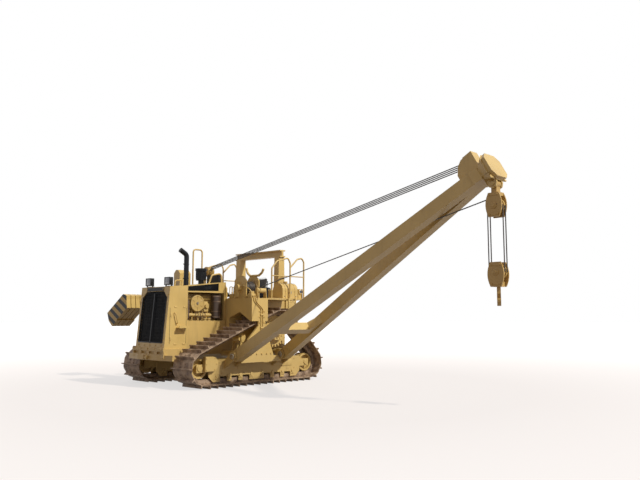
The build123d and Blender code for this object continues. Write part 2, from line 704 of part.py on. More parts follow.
def front_lower_guard():
    """Slotted cross box under the radiator, its wide skirt ahead of the tracks, and the front pull clevis."""
    rear = GUARD_REAR_X + PLATE
    chamfer = PLATE * 4
    side = (
        (rear, LOWER_GUARD_BOTTOM_Z),
        (LOWER_GUARD_FRONT_X - chamfer, LOWER_GUARD_BOTTOM_Z),
        (LOWER_GUARD_FRONT_X, LOWER_GUARD_BOTTOM_Z + chamfer),
        (LOWER_GUARD_FRONT_X, LOWER_GUARD_TOP_Z),
        (GUARD_FRONT_BOTTOM[0], GUARD_FRONT_BOTTOM[1]),
        (rear, GUARD_FRONT_BOTTOM[1]),
    )
    body = along_y(side, -LOWER_GUARD_HALF, LOWER_GUARD_HALF)
    width = 2 * LOWER_GUARD_HALF / LOWER_GUARD_SLOTS
    depth = LOWER_GUARD_FRONT_X - GUARD_FRONT_BOTTOM[0]
    for index in range(LOWER_GUARD_SLOTS):
        y = -LOWER_GUARD_HALF + width * (index + 0.5)
        reach = width * SLOT_WIDTH_SHARE
        body = body - block(
            LOWER_GUARD_FRONT_X - depth, LOWER_GUARD_FRONT_X + OVERRUN, y - reach, y + reach,
            SLOT_BOTTOM_Z, SLOT_TOP_Z,
        )
    band = block(
        GUARD_FRONT_BOTTOM[0] + SEAT_GAP, LOWER_GUARD_FRONT_X + BAND_OUT,
        -LOWER_GUARD_HALF, LOWER_GUARD_HALF, LOWER_GUARD_TOP_Z - PLATE, BAND_TOP_Z,
    )
    half = SKIRT["half_width"]
    plan = []
    for face in (-1, 1):
        plan += [
            (SKIRT["rear_x"] - chamfer, face * LOWER_GUARD_HALF),
            (SKIRT["rear_x"], face * LOWER_GUARD_HALF),
            (SKIRT["rear_x"], face * half),
            (SKIRT["side_x"], face * half),
            (SKIRT["front_x"], face * SKIRT["front_half"]),
        ][::-face]
    skirt = along_z(plan, SKIRT["z0"], SKIRT["z1"])
    pieces = [body, band, skirt]
    for face in (-1, 1):
        low, high = sorted((face * PULL_EAR["half_gap"], face * (PULL_EAR["half_gap"] + PULL_EAR["thick"])))
        ear = block(SKIRT["front_x"] - OVERRUN, PULL_EAR["x"], low, high, PULL_EAR["z0"], PULL_EAR["z1"])
        pieces.append(ear)
    reach = PULL_EAR["half_gap"] + PULL_EAR["thick"] + OVERRUN
    pin_x = (SKIRT["front_x"] + PULL_EAR["x"]) / 2
    pin_z = (PULL_EAR["z0"] + PULL_EAR["z1"]) / 2
    pieces.append(rod((pin_x, -reach, pin_z), (pin_x, reach, pin_z), PULL_EAR["pin"]))
    return fuse(pieces)


SCREEN_CORNERS = ((590, 2318), (1525, 2300), (1525, 2412), (590, 2512))


def hood():
    """Engine hood: a folded shell, open below, with a sunk screen in each side."""
    side = (
        (HOOD_REAR_X, HOOD_EDGE_Z),
        (HOOD_FRONT_X, HOOD_EDGE_Z),
        (HOOD_FRONT_X, HOOD_FRONT_Z),
        (HOOD_REAR_X, HOOD_REAR_Z),
    )
    hollow = (
        (HOOD_REAR_X - OVERRUN, HOOD_EDGE_Z - OVERRUN),
        (HOOD_FRONT_X + OVERRUN, HOOD_EDGE_Z - OVERRUN),
        (HOOD_FRONT_X + OVERRUN, HOOD_FRONT_Z - PLATE),
        (HOOD_REAR_X - OVERRUN, HOOD_REAR_Z - PLATE),
    )
    shell = along_y(side, -HOOD_HALF_WIDTH, HOOD_HALF_WIDTH)
    shell = shell - along_y(hollow, -HOOD_HALF_WIDTH + PLATE, HOOD_HALF_WIDTH - PLATE)
    for face in (-1, 1):
        low, high = sorted((face * (HOOD_HALF_WIDTH - PLATE / 2), face * (HOOD_HALF_WIDTH + OVERRUN)))
        shell = shell - along_y(SCREEN_CORNERS, low, high)
    return shell


def below_hood():
    """Everything under the hood's top face, to trim what stands on it."""
    side = (
        (HOOD_REAR_X, CASE_TOP_Z),
        (HOOD_FRONT_X, CASE_TOP_Z),
        (HOOD_FRONT_X, HOOD_FRONT_Z),
        (HOOD_REAR_X, HOOD_REAR_Z),
    )
    return along_y(side, -HOOD_HALF_WIDTH, HOOD_HALF_WIDTH)


BULKHEAD_THICK = 60


def bulkhead():
    """Wall behind the engine that carries the hood's rear end."""
    half = HOOD_HALF_WIDTH
    return block(HOOD_REAR_X - BULKHEAD_THICK, HOOD_REAR_X, -half, half, CASE_TOP_Z, HOOD_REAR_Z)


STACK = dict(x=1380, y=200, radius=62, z=3330, bend=110, tip=190)


def exhaust_stack():
    """Exhaust pipe that stands on the hood and bends forward at its tip."""
    base = HOOD_FRONT_Z - PLATE
    foot = (STACK["x"], STACK["y"], base)
    elbow = (STACK["x"], STACK["y"], STACK["z"] - STACK["bend"])
    tip = (STACK["x"] + STACK["tip"], STACK["y"], STACK["z"])
    return rail((foot, elbow, tip), STACK["bend"], STACK["radius"]) - below_hood()


CLEANER = dict(x=790, y=0, radius=150, bowl_radius=128, z0=2600, lid_z=2850, z1=2910, neck=70)


def precleaner():
    """Mushroom air precleaner over the hood."""
    x = CLEANER["x"]
    y = CLEANER["y"]
    neck = rod((x, y, HOOD_FRONT_Z), (x, y, CLEANER["z0"] + OVERRUN), CLEANER["neck"])
    bowl = rod((x, y, CLEANER["z0"]), (x, y, CLEANER["lid_z"]), CLEANER["bowl_radius"])
    lid = rod((x, y, CLEANER["lid_z"]), (x, y, CLEANER["z1"]), CLEANER["radius"])
    return fuse([neck, bowl, lid]) - below_hood()


LAMPS = dict(x=2000, half_width=105, half_height=75, depth=110, z=2660, post=26, left_y=300, right_y=-560)


def headlights():
    """Square lamps on short posts on top of the guard."""
    lamps = []
    for y in (LAMPS["left_y"], LAMPS["right_y"]):
        case = block(
            LAMPS["x"] - LAMPS["depth"], LAMPS["x"],
            y - LAMPS["half_width"], y + LAMPS["half_width"],
            LAMPS["z"] - LAMPS["half_height"], LAMPS["z"] + LAMPS["half_height"],
        )
        foot_x = LAMPS["x"] - LAMPS["depth"] / 2
        foot_z = GUARD_FRONT_TOP[1] - PLATE
        post = rod((foot_x, y, foot_z), (foot_x, y, LAMPS["z"]), LAMPS["post"])
        lamps.append(case + post - guard_body())
    return group(lamps)


ARCH_INNER_GAP = 140
ARCH_INNER_Y = BODY_HALF_WIDTH + ARCH_INNER_GAP
POST_THICK = 55
ARCH_OUTER_Y = PORTAL_SIDE_Y - POST_THICK
ARCH_INNER_Z = 1640
ARCH_TOP_Z = 1790
ARCH_SIDE_Z = 1560
POST_FRONT_X = 180
POST_REAR_X = -45
FOOT_FRONT_X = 504
FOOT_REAR_X = -330
POST_KNEE_Z = 1440
POST_FLARE = 330
POST_NECK_Z = 1830
POST_TOP_REAR_Z = 1930
POST_TOP_FRONT_Z = 2070
BRACKET_TOP_Z = 700
TRACK_ROOM = 40


def portal_frame():
    """Frame that straddles the left track and carries the winch: an arch over the chain and a post."""
    arch = (
        (BODY_HALF_WIDTH, CASE_TOP_Z),
        (ARCH_INNER_Y, CASE_TOP_Z),
        (ARCH_INNER_Y, ARCH_INNER_Z),
        ((ARCH_INNER_Y + ARCH_OUTER_Y) / 2, ARCH_TOP_Z),
        (ARCH_OUTER_Y, ARCH_SIDE_Z),
        (PORTAL_SIDE_Y, ARCH_SIDE_Z),
        (PORTAL_SIDE_Y, PORTAL_TOP_Z),
        (BODY_HALF_WIDTH, PORTAL_TOP_Z),
    )
    beam = along_x(arch, PORTAL_REAR_X, PORTAL_FRONT_X)
    post = (
        (PORTAL_REAR_X, PORTAL_TOP_Z),
        (PORTAL_REAR_X, POST_TOP_REAR_Z),
        (POST_REAR_X, POST_NECK_Z),
        (POST_REAR_X, POST_KNEE_Z),
        (FOOT_REAR_X, BRACKET_TOP_Z),
        (FOOT_FRONT_X, BRACKET_TOP_Z),
        (FOOT_FRONT_X, POST_KNEE_Z - POST_FLARE),
        (POST_FRONT_X, POST_KNEE_Z),
        (POST_FRONT_X, POST_NECK_Z),
        (PORTAL_FRONT_X, POST_TOP_FRONT_Z),
        (PORTAL_FRONT_X, PORTAL_TOP_Z),
    )
    tunnel = (
        (PORTAL_REAR_X - OVERRUN, CASE_TOP_Z - OVERRUN),
        (PORTAL_FRONT_X + OVERRUN, CASE_TOP_Z - OVERRUN),
        (PORTAL_FRONT_X + OVERRUN, front_run_z(PORTAL_FRONT_X, PIN_TO_TIP + TRACK_ROOM)),
        (PORTAL_REAR_X - OVERRUN, front_run_z(PORTAL_REAR_X, PIN_TO_TIP + TRACK_ROOM)),
    )
    beam = beam - along_y(tunnel, ARCH_INNER_Y, ARCH_OUTER_Y)
    return beam + along_y(post, ARCH_OUTER_Y, PORTAL_SIDE_Y)


def decks():
    """Walkways over both tracks beside the rear house."""
    bottom = DECK_TOP_Z - DECK_PLATE
    left = block(DECK_REAR_X, DECK_FRONT_X, BODY_HALF_WIDTH, DECK_EDGE_Y, bottom, DECK_TOP_Z)
    return group([left, mirrored(left)])


WINCH_X = (PORTAL_REAR_X + PORTAL_FRONT_X) / 2
WINCH_HALF = 190
WINCH_PLATE = 28
DRUM_RADIUS = 130
DRUM_FLANGE_RADIUS = 205
DRUM_FLANGE = 18
DRUM_SHAFT_RADIUS = 45
WINCH_Z = 2390
LOAD_WINCH_INSET = 63
LOAD_WINCH_Y = TRACK_GAUGE / 2 - LOAD_WINCH_INSET
BOOM_WINCH_Y = -250
STAND_HALF = 235
STAND_CORNER = 110
LOAD_STAND_TOP_Z = 2690
BOOM_STAND_TOP_Z = 2535
MOTOR_RADIUS = 85
MOTOR_LENGTH = 120
HORN_RADIUS = 30
HORN_BEND = 45
HORN_PATH = ((-280, 2920), (-230, 2790), (-120, 2712), (220, 2712), (340, 2780), (400, 2870))


def winch_drum(y):
    """Cable drum with two flanges, bored for its shaft."""
    half = WINCH_HALF - RUNNING_CLEARANCE
    flange = half - DRUM_FLANGE
    core = rod((WINCH_X - half, y, WINCH_Z), (WINCH_X + half, y, WINCH_Z), DRUM_RADIUS)
    front = rod((WINCH_X + flange, y, WINCH_Z), (WINCH_X + half, y, WINCH_Z), DRUM_FLANGE_RADIUS)
    rear = rod((WINCH_X - half, y, WINCH_Z), (WINCH_X - flange, y, WINCH_Z), DRUM_FLANGE_RADIUS)
    bore = rod(
        (WINCH_X - WINCH_HALF, y, WINCH_Z), (WINCH_X + WINCH_HALF, y, WINCH_Z),
        DRUM_SHAFT_RADIUS + PIN_CLEARANCE,
    )
    return fuse([core, front, rear]) - bore


def winch_stand(y, top_z):
    """Two bearing plates with cut corners and the fixed shaft between them."""
    plate = (
        (y - STAND_HALF, PORTAL_TOP_Z),
        (y + STAND_HALF, PORTAL_TOP_Z),
        (y + STAND_HALF, top_z - STAND_CORNER),
        (y + STAND_HALF - STAND_CORNER, top_z),
        (y - STAND_HALF + STAND_CORNER, top_z),
        (y - STAND_HALF, top_z - STAND_CORNER),
    )
    pieces = [rod((WINCH_X - WINCH_HALF, y, WINCH_Z), (WINCH_X + WINCH_HALF, y, WINCH_Z), DRUM_SHAFT_RADIUS)]
    for face in (-1, 1):
        inner = WINCH_X + face * WINCH_HALF
        low, high = sorted((inner, inner + face * WINCH_PLATE))
        pieces.append(along_x(plate, low, high))
    return pieces


def winch_frame():
    """Cross beam with the boom winch's stand, and the load winch's stand with its motor and rope horn."""
    beam = block(
        PORTAL_REAR_X, HOOD_REAR_X - BULKHEAD_THICK, -BODY_HALF_WIDTH, BODY_HALF_WIDTH,
        CASE_TOP_Z, PORTAL_TOP_Z,
    )
    front = WINCH_X + WINCH_HALF
    motor_end = front + WINCH_PLATE + MOTOR_LENGTH
    motor = rod((front, LOAD_WINCH_Y, WINCH_Z), (motor_end, LOAD_WINCH_Y, WINCH_Z), MOTOR_RADIUS)
    horn_x = WINCH_X - WINCH_HALF - WINCH_PLATE / 2
    horn = rail([(horn_x, LOAD_WINCH_Y + y, z) for y, z in HORN_PATH], HORN_BEND, HORN_RADIUS)
    load = fuse(winch_stand(LOAD_WINCH_Y, LOAD_STAND_TOP_Z) + [motor, horn])
    boom = fuse([beam] + winch_stand(BOOM_WINCH_Y, BOOM_STAND_TOP_Z))
    return group([load, boom])


FAIRLEAD_Z = 2390
FAIRLEAD_RADIUS = 60
FAIRLEAD_Y = PORTAL_SIDE_Y - FAIRLEAD_RADIUS
FAIRLEAD_HALF = 130
FAIRLEAD_AXLE = (FAIRLEAD_Y, FAIRLEAD_Z - FAIRLEAD_RADIUS - ROPE_RADIUS)


def fairlead():
    """Guide roller for the load line between two ears on the portal's outer edge."""
    start = (HOIST_X - FAIRLEAD_HALF, *FAIRLEAD_AXLE)
    end = (HOIST_X + FAIRLEAD_HALF, *FAIRLEAD_AXLE)
    pieces = [rod(start, end, FAIRLEAD_RADIUS)]
    ear = (
        (FAIRLEAD_Y - FAIRLEAD_RADIUS, PORTAL_TOP_Z),
        (PORTAL_SIDE_Y, PORTAL_TOP_Z),
        (FAIRLEAD_Y + FAIRLEAD_RADIUS / 2, FAIRLEAD_Z),
        (FAIRLEAD_Y - FAIRLEAD_RADIUS / 2, FAIRLEAD_Z),
    )
    for face in (-1, 1):
        inner = HOIST_X + face * FAIRLEAD_HALF
        low, high = sorted((inner, inner + face * PLATE))
        pieces.append(along_x(ear, low, high))
    return fuse(pieces)


CONSOLE = dict(x0=345, half_width=260, z1=2760)


def console():
    """Instrument panel behind the engine, facing the operator."""
    half = CONSOLE["half_width"]
    return block(CONSOLE["x0"], HOOD_REAR_X, -half, half, HOOD_REAR_Z, CONSOLE["z1"])


SEAT = dict(x0=-1290, x1=-790, half_width=250, z0=2300, cushion=110, back=120, back_z=2760, lean=90)
SEAT_BOX_INSET = 60


def seat():
    """Operator's seat: a cushion and a leaning back on a box."""
    half = SEAT["half_width"]
    inset = SEAT_BOX_INSET
    base = block(
        SEAT["x0"] + inset, SEAT["x1"] - inset, inset - half, half - inset,
        DECK_TOP_Z - DECK_PLATE, SEAT["z0"],
    )
    cushion = block(SEAT["x0"], SEAT["x1"], -half, half, SEAT["z0"], SEAT["z0"] + SEAT["cushion"])
    back_side = (
        (SEAT["x0"], SEAT["z0"] + SEAT["cushion"] / 2),
        (SEAT["x0"] + SEAT["back"], SEAT["z0"] + SEAT["cushion"] / 2),
        (SEAT["x0"] + SEAT["back"] - SEAT["lean"], SEAT["back_z"]),
        (SEAT["x0"] - SEAT["lean"], SEAT["back_z"]),
    )
    return fuse([base, cushion, along_y(back_side, -half, half)])


TANK_INSET = 100
TANK_WIDTH = 390
TANK_OUTER_Y = DECK_EDGE_Y - TANK_INSET
SIDE_TANK = dict(x0=-1340, x1=-800, y0=TANK_OUTER_Y - TANK_WIDTH, y1=TANK_OUTER_Y, z1=2550)
DECK_BOX = dict(x0=-1520, x1=-1360, width=230, z1=2400, lamp_radius=70, lamp_out=20)


def side_tank():
    """Round-topped tank on the left deck, and behind it a box with a round rear lamp."""
    x0 = SIDE_TANK["x0"]
    x1 = SIDE_TANK["x1"]
    radius = (SIDE_TANK["y1"] - SIDE_TANK["y0"]) / 2
    middle = (SIDE_TANK["y1"] + SIDE_TANK["y0"]) / 2
    shoulder = SIDE_TANK["z1"] - radius
    tank = block(x0, x1, SIDE_TANK["y0"], SIDE_TANK["y1"], DECK_TOP_Z, shoulder)
    tank = tank + rod((x0, middle, shoulder), (x1, middle, shoulder), radius)
    box_y = SIDE_TANK["y1"]
    box = block(DECK_BOX["x0"], DECK_BOX["x1"], box_y - DECK_BOX["width"], box_y, DECK_TOP_Z, DECK_BOX["z1"])
    lamp_x = (DECK_BOX["x0"] + DECK_BOX["x1"]) / 2
    lamp_z = DECK_BOX["z1"] - DECK_BOX["lamp_radius"]
    lamp_y = box_y + DECK_BOX["lamp_out"]
    lamp = rod((lamp_x, box_y - OVERRUN, lamp_z), (lamp_x, lamp_y, lamp_z), DECK_BOX["lamp_radius"])
    return group([tank, box + lamp])


REAR_TANK = dict(x0=-1980, half_width=600, z0=1500, z1=2420, slope=180)


def rear_tank():
    """Fuel tank across the back of the tractor, its lower corner cut away."""
    side = (
        (BODY_REAR_X, REAR_TANK["z0"]),
        (REAR_TANK["x0"] + REAR_TANK["slope"], REAR_TANK["z0"]),
        (REAR_TANK["x0"], REAR_TANK["z0"] + REAR_TANK["slope"]),
        (REAR_TANK["x0"], REAR_TANK["z1"]),
        (BODY_REAR_X, REAR_TANK["z1"]),
    )
    return along_y(side, -REAR_TANK["half_width"], REAR_TANK["half_width"])


DRAWBAR = dict(x0=-2190, half_width=100, z0=640, z1=740, bore=38)


def drawbar():
    """Rear drawbar with an upright pin bore."""
    half = DRAWBAR["half_width"]
    bar = block(DRAWBAR["x0"], BODY_REAR_X, -half, half, DRAWBAR["z0"], DRAWBAR["z1"])
    x = DRAWBAR["x0"] + DRAWBAR["half_width"]
    bore = rod((x, 0, DRAWBAR["z0"] - OVERRUN), (x, 0, DRAWBAR["z1"] + OVERRUN), DRAWBAR["bore"])
    return bar - bore


ROPS_POST = 190
ROPS_POST_FOOT = 240
ROPS_POST_Y = 830
ROPS_BEAM_DEPTH = 190
ROPS_BEAM_WEB = 60


def rops():
    """Rollover frame: two tapered posts on the deck and a cross beam of I section."""
    pieces = []
    top = ROPS_TOP_Z - ROPS_BEAM_DEPTH
    for side in (-1, 1):
        post = (
            (ROPS_X - ROPS_POST_FOOT / 2, DECK_TOP_Z),
            (ROPS_X + ROPS_POST_FOOT / 2, DECK_TOP_Z),
            (ROPS_X + ROPS_POST / 2, top),
            (ROPS_X - ROPS_POST / 2, top),
        )
        inner = side * ROPS_POST_Y - ROPS_POST / 2
        pieces.append(along_y(post, inner, inner + ROPS_POST))
    half = ROPS_POST / 2
    flange = ROPS_BEAM_DEPTH / 6
    section = (
        (ROPS_X - half, top),
        (ROPS_X + half, top),
        (ROPS_X + half, top + flange),
        (ROPS_X + ROPS_BEAM_WEB / 2, top + flange),
        (ROPS_X + ROPS_BEAM_WEB / 2, ROPS_TOP_Z - flange),
        (ROPS_X + half, ROPS_TOP_Z - flange),
        (ROPS_X + half, ROPS_TOP_Z),
        (ROPS_X - half, ROPS_TOP_Z),
        (ROPS_X - half, ROPS_TOP_Z - flange),
        (ROPS_X - ROPS_BEAM_WEB / 2, ROPS_TOP_Z - flange),
        (ROPS_X - ROPS_BEAM_WEB / 2, top + flange),
        (ROPS_X - half, top + flange),
    )
    pieces.append(along_y(section, -ROPS_HALF_WIDTH, ROPS_HALF_WIDTH))
    return fuse(pieces)


RAIL_RADIUS = 21
RAIL_BEND = 80
RAIL_INSET = 50
DECK_RAIL_Y = DECK_EDGE_Y - RAIL_INSET
FRONT_RAIL_PATH = (
    (-376, DECK_TOP_Z), (-376, 2911), (-551, 3103), (-937, 3205), (-1015, 3077), (-1015, DECK_TOP_Z)
)
REAR_RAIL_PATH = ((-1512, DECK_TOP_Z), (-1512, 3120), (-1440, 3225), (-1270, 3187), (-1012, 2945))
MID_RAIL_Z = 2720
LADDER_OUT = 60
LADDER_BOTTOM_Z = 1700
LADDER_PLACES_X = (-1110, -870)
LADDER_RUNG_PLACES_Z = (1740, 1900, 2060)
HOOD_RAIL_Y = 440
HOOD_RAIL_PATH = ((860, 2480), (770, 2720), (470, 2780), (455, 2500))
GUARD_HANDLE_Y = 430
GUARD_HANDLE_PATH = ((1650, 2400), (1655, 2565), (1850, 2550), (1860, 2390))
HANDLE_BEND = 50
HANDLE_RADIUS = 14
TALL_RAIL_PLACES_X = (262, 552)
TALL_RAIL_TOP_Z = 3480


def deck_rails(y):
    """Two bent tubes on a deck's edge, welded to each other, with a level bar in the front one."""
    front = rail([(x, y, z) for x, z in FRONT_RAIL_PATH], RAIL_BEND, RAIL_RADIUS)
    rear = rail([(x, y, z) for x, z in REAR_RAIL_PATH], RAIL_BEND, RAIL_RADIUS)
    first = (FRONT_RAIL_PATH[1][0], y, MID_RAIL_Z)
    last = (REAR_RAIL_PATH[0][0], y, MID_RAIL_Z)
    return fuse([front, rear, rod(first, last, HANDLE_RADIUS)])


def ladder(side):
    """Two tubes and their rungs that hang from the deck's edge outside the track."""
    y = side * (DECK_EDGE_Y + LADDER_OUT)
    hang_z = DECK_TOP_Z - DECK_PLATE / 2
    pieces = []
    for x in LADDER_PLACES_X:
        pieces.append(rod((x, y, LADDER_BOTTOM_Z), (x, y, DECK_TOP_Z), RAIL_RADIUS))
        pieces.append(rod((x, side * DECK_EDGE_Y, hang_z), (x, y, hang_z), HANDLE_RADIUS))
    for z in LADDER_RUNG_PLACES_Z:
        pieces.append(rod((LADDER_PLACES_X[0], y, z), (LADDER_PLACES_X[1], y, z), HANDLE_RADIUS))
    return fuse(pieces)


def handrails():
    """Rails and ladders of both decks, the hood's rail, the guard's handle and a tall rail on the right."""
    hood_rail = rail([(x, HOOD_RAIL_Y, z) for x, z in HOOD_RAIL_PATH], RAIL_BEND, RAIL_RADIUS) - below_hood()
    handle = rail([(x, GUARD_HANDLE_Y, z) for x, z in GUARD_HANDLE_PATH], HANDLE_BEND, HANDLE_RADIUS)
    tall_y = (RIGHT_FRAME["outer_y"] + RIGHT_FRAME["inner_y"]) / 2
    rear_x, front_x = TALL_RAIL_PLACES_X
    foot_z = RIGHT_FRAME["top_z"]
    tall_path = ((rear_x, foot_z), (rear_x, TALL_RAIL_TOP_Z), (front_x, TALL_RAIL_TOP_Z), (front_x, foot_z))
    tall = rail([(x, tall_y, z) for x, z in tall_path], RAIL_BEND, RAIL_RADIUS)
    decks_rails = [deck_rails(side * DECK_RAIL_Y) for side in (-1, 1)]
    return group(decks_rails + [ladder(-1), ladder(1), hood_rail, handle - guard_body(), tall])


BRACKET_EAR = 50
BRACKET_ROOT_Z0 = 430
BRACKET_ROOT_Z1 = 620
TIE_BOTTOM_Z = 560
TIE_DEPTH = 100
EAR_CORNER_SHARES = ((0, -0.9), (0.85, -0.2), (0.6, 0.7), (-0.6, 0.7))


def boom_foot_brackets():
    """Two clevises on the left track frame for the boom's feet, tied by a box beam under the portal post."""
    face = TRACK_GAUGE / 2 + ROLLER_FRAME_WIDTH / 2
    reach = LEG_WIDTH / 2 + RUNNING_CLEARANCE
    ear = [(face, BRACKET_ROOT_Z0)]
    for across, up in EAR_CORNER_SHARES:
        ear.append((BOOM_PIN_Y + LEG_EYE_RADIUS * across, BOOM_PIN_Z + LEG_EYE_RADIUS * up))
    ear.append((face, BRACKET_ROOT_Z1))
    tie = block(
        BOOM_REAR_FOOT_X + reach, BOOM_FRONT_FOOT_X - reach,
        PORTAL_SIDE_Y - TIE_DEPTH, PORTAL_SIDE_Y, TIE_BOTTOM_Z, BRACKET_TOP_Z,
    )
    pieces = [tie]
    for foot_x in (BOOM_FRONT_FOOT_X, BOOM_REAR_FOOT_X):
        for side in (-1, 1):
            inner = foot_x + side * reach
            low, high = sorted((inner, inner + side * BRACKET_EAR))
            pieces.append(along_x(ear, low, high))
        half = reach + BRACKET_EAR
        pieces.append(
            block(foot_x - half, foot_x + half, face, face + BRACKET_EAR, BRACKET_ROOT_Z0, BRACKET_ROOT_Z1)
        )
        pin_start = (foot_x - half - PLATE, BOOM_PIN_Y, BOOM_PIN_Z)
        pieces.append(rod(pin_start, (foot_x + half + PLATE, BOOM_PIN_Y, BOOM_PIN_Z), FOOT_PIN_RADIUS))
    return fuse(pieces)


# The boom is drawn lying along +Y from its foot pins, then turned up to its angle
BOOM_PLACE = Pos(0, BOOM_PIN_Y, BOOM_PIN_Z) * Rot(BOOM_ANGLE, 0, 0)
HEAD_SPREAD = 62
HEAD_LENGTH = 520
CROSS_START = 1260
CROSS_END = 1460
CROSS_DEPTH = 190
GUSSET = 330
LEG_WALL = 14


def boom_point(x, along, above):
    """Place in the tractor frame of a point drawn on the lying boom."""
    angle = radians(BOOM_ANGLE)
    return (
        x,
        BOOM_PIN_Y + along * cos(angle) - above * sin(angle),
        BOOM_PIN_Z + along * sin(angle) + above * cos(angle),
    )


def leg_centre(foot_x, along):
    """x of a leg's centre line at a distance from the foot pins."""
    side = 1 if foot_x > HOIST_X else -1
    head_x = HOIST_X + side * HEAD_SPREAD
    return foot_x + (head_x - foot_x) * along / BOOM_LENGTH


def leg_lean(foot_x):
    """Half width of a leg measured along x, because it leans inwards."""
    return LEG_WIDTH / 2 / cos(atan2(leg_centre(foot_x, BOOM_LENGTH) - foot_x, BOOM_LENGTH))


def boom_leg(foot_x):
    """Hollow box leg from its foot eye to the head, cut where the two legs meet."""
    half = leg_lean(foot_x)
    side = 1 if foot_x > HOIST_X else -1
    top = BOOM_LENGTH - HEAD_LENGTH / 2

    def tapered(inset, start):
        near = leg_centre(foot_x, start)
        far = leg_centre(foot_x, top)
        points = (
            (near - half + inset, start),
            (near + half - inset, start),
            (far + half - inset, top),
            (far - half + inset, top),
        )
        return along_z(points, inset - LEG_DEPTH / 2, LEG_DEPTH / 2 - inset)

    across = LEG_WIDTH
    leg = tapered(0, 0) - block(
        foot_x - across, foot_x + across, -LEG_EYE_RADIUS, LEG_EYE_RADIUS, -LEG_DEPTH, LEG_DEPTH
    )
    eye_half = LEG_WIDTH / 2
    neck = block(
        foot_x - eye_half, foot_x + eye_half, 0, LEG_EYE_RADIUS + OVERRUN, -LEG_DEPTH / 2, LEG_DEPTH / 2
    )
    eye = rod((foot_x - eye_half, 0, 0), (foot_x + eye_half, 0, 0), LEG_EYE_RADIUS)
    bore = rod((foot_x - across, 0, 0), (foot_x + across, 0, 0), FOOT_PIN_RADIUS + PIN_CLEARANCE)
    inside = tapered(LEG_WALL, 2 * LEG_EYE_RADIUS)
    near_side = block(
        HOIST_X, HOIST_X + side * BOOM_LENGTH, 0, BOOM_LENGTH, -LEG_DEPTH, LEG_DEPTH
    )
    wall_side = block(
        HOIST_X + side * LEG_WALL, HOIST_X + side * BOOM_LENGTH, 0, BOOM_LENGTH, -LEG_DEPTH, LEG_DEPTH
    )
    solid = fuse([leg, neck, eye]) - bore
    lower = block(foot_x - across, foot_x + across, -LEG_EYE_RADIUS - OVERRUN, 0, -LEG_DEPTH, LEG_DEPTH)
    return BOOM_PLACE * (solid & (near_side + lower)) - BOOM_PLACE * (inside & wall_side)


def boom_cross_member():
    """Cross beam between the legs near their feet, with gussets on its upper side."""
    front = BOOM_FRONT_FOOT_X
    rear = BOOM_REAR_FOOT_X

    def inner_front(along):
        return leg_centre(front, along) - leg_lean(front)

    def inner_rear(along):
        return leg_centre(rear, along) + leg_lean(rear)

    points = (
        (inner_rear(CROSS_START), CROSS_START),
        (inner_front(CROSS_START), CROSS_START),
        (inner_front(CROSS_END + GUSSET), CROSS_END + GUSSET),
        (inner_front(CROSS_END) - GUSSET / 2, CROSS_END),
        (inner_rear(CROSS_END) + GUSSET / 2, CROSS_END),
        (inner_rear(CROSS_END + GUSSET), CROSS_END + GUSSET),
    )
    return BOOM_PLACE * along_z(points, -CROSS_DEPTH / 2, CROSS_DEPTH / 2)


HEAD_HALF = 240
HEAD_PLATE_HALF_X = 430
HEAD_PLATE_HALF_Z = 295
HEAD_CORNER_SHARE = 0.42
HEAD_PLATE = 60
COLLAR_LENGTH = 220
COLLAR_POCKET = 145
COLLAR_POCKET_TOP = 190
HEAD_EAR = 45
HEAD_EAR_GAP = 75
EAR_HALF = 110
EAR_TIP_HALF = 40
EAR_BELOW_PIN = 80
UPPER_PIN_RADIUS = 40
LINE_SHEAVES = 4
LINE_PITCH = 48
LINE_SHEAVE_RADIUS = 165
LINE_SHEAVE_BACK = 280
LINE_SHEAVE_ALONG = BOOM_LENGTH - LINE_SHEAVE_BACK
LINE_SHEAVE_ABOVE = 175
SHEAVE_GROOVE = 16
SHEAVE_SIDE_GAP = 3
SHEAVE_SHAFT_RADIUS = 30
CHEEK_GAP = 4
LINE_SPAN = LINE_SHEAVES * LINE_PITCH / 2 + CHEEK_GAP
HOUSING_PATH = ((-230, 0), (-230, 150), (-130, 300), (-20, 370), (240, 370), (240, 0))
HOUSING_COVER_START = 30


def octagon(half_x, half_z):
    """Corners of an eight-sided plate around the boom's axis."""
    cut_x = half_x * HEAD_CORNER_SHARE
    cut_z = half_z * HEAD_CORNER_SHARE
    quarter = ((half_x, half_z - cut_z), (half_x - cut_x, half_z))
    corners = [(x, z) for x, z in quarter]
    corners += [(-x, z) for x, z in quarter[::-1]]
    corners += [(-x, -z) for x, z in quarter]
    corners += [(x, -z) for x, z in quarter[::-1]]
    return [(HOIST_X + x, z) for x, z in corners]


def head_collar():
    """Part of the head that flares from the legs' depth to the octagonal end plate."""
    end = BOOM_LENGTH + HEAD_LENGTH / 4
    return loft(
        [
            Plane.XZ.offset(COLLAR_LENGTH - end) * outline(octagon(HEAD_HALF, LEG_DEPTH / 2)),
            Plane.XZ.offset(-end) * outline(octagon(HEAD_PLATE_HALF_X, HEAD_PLATE_HALF_Z)),
        ],
        ruled=True,
    )


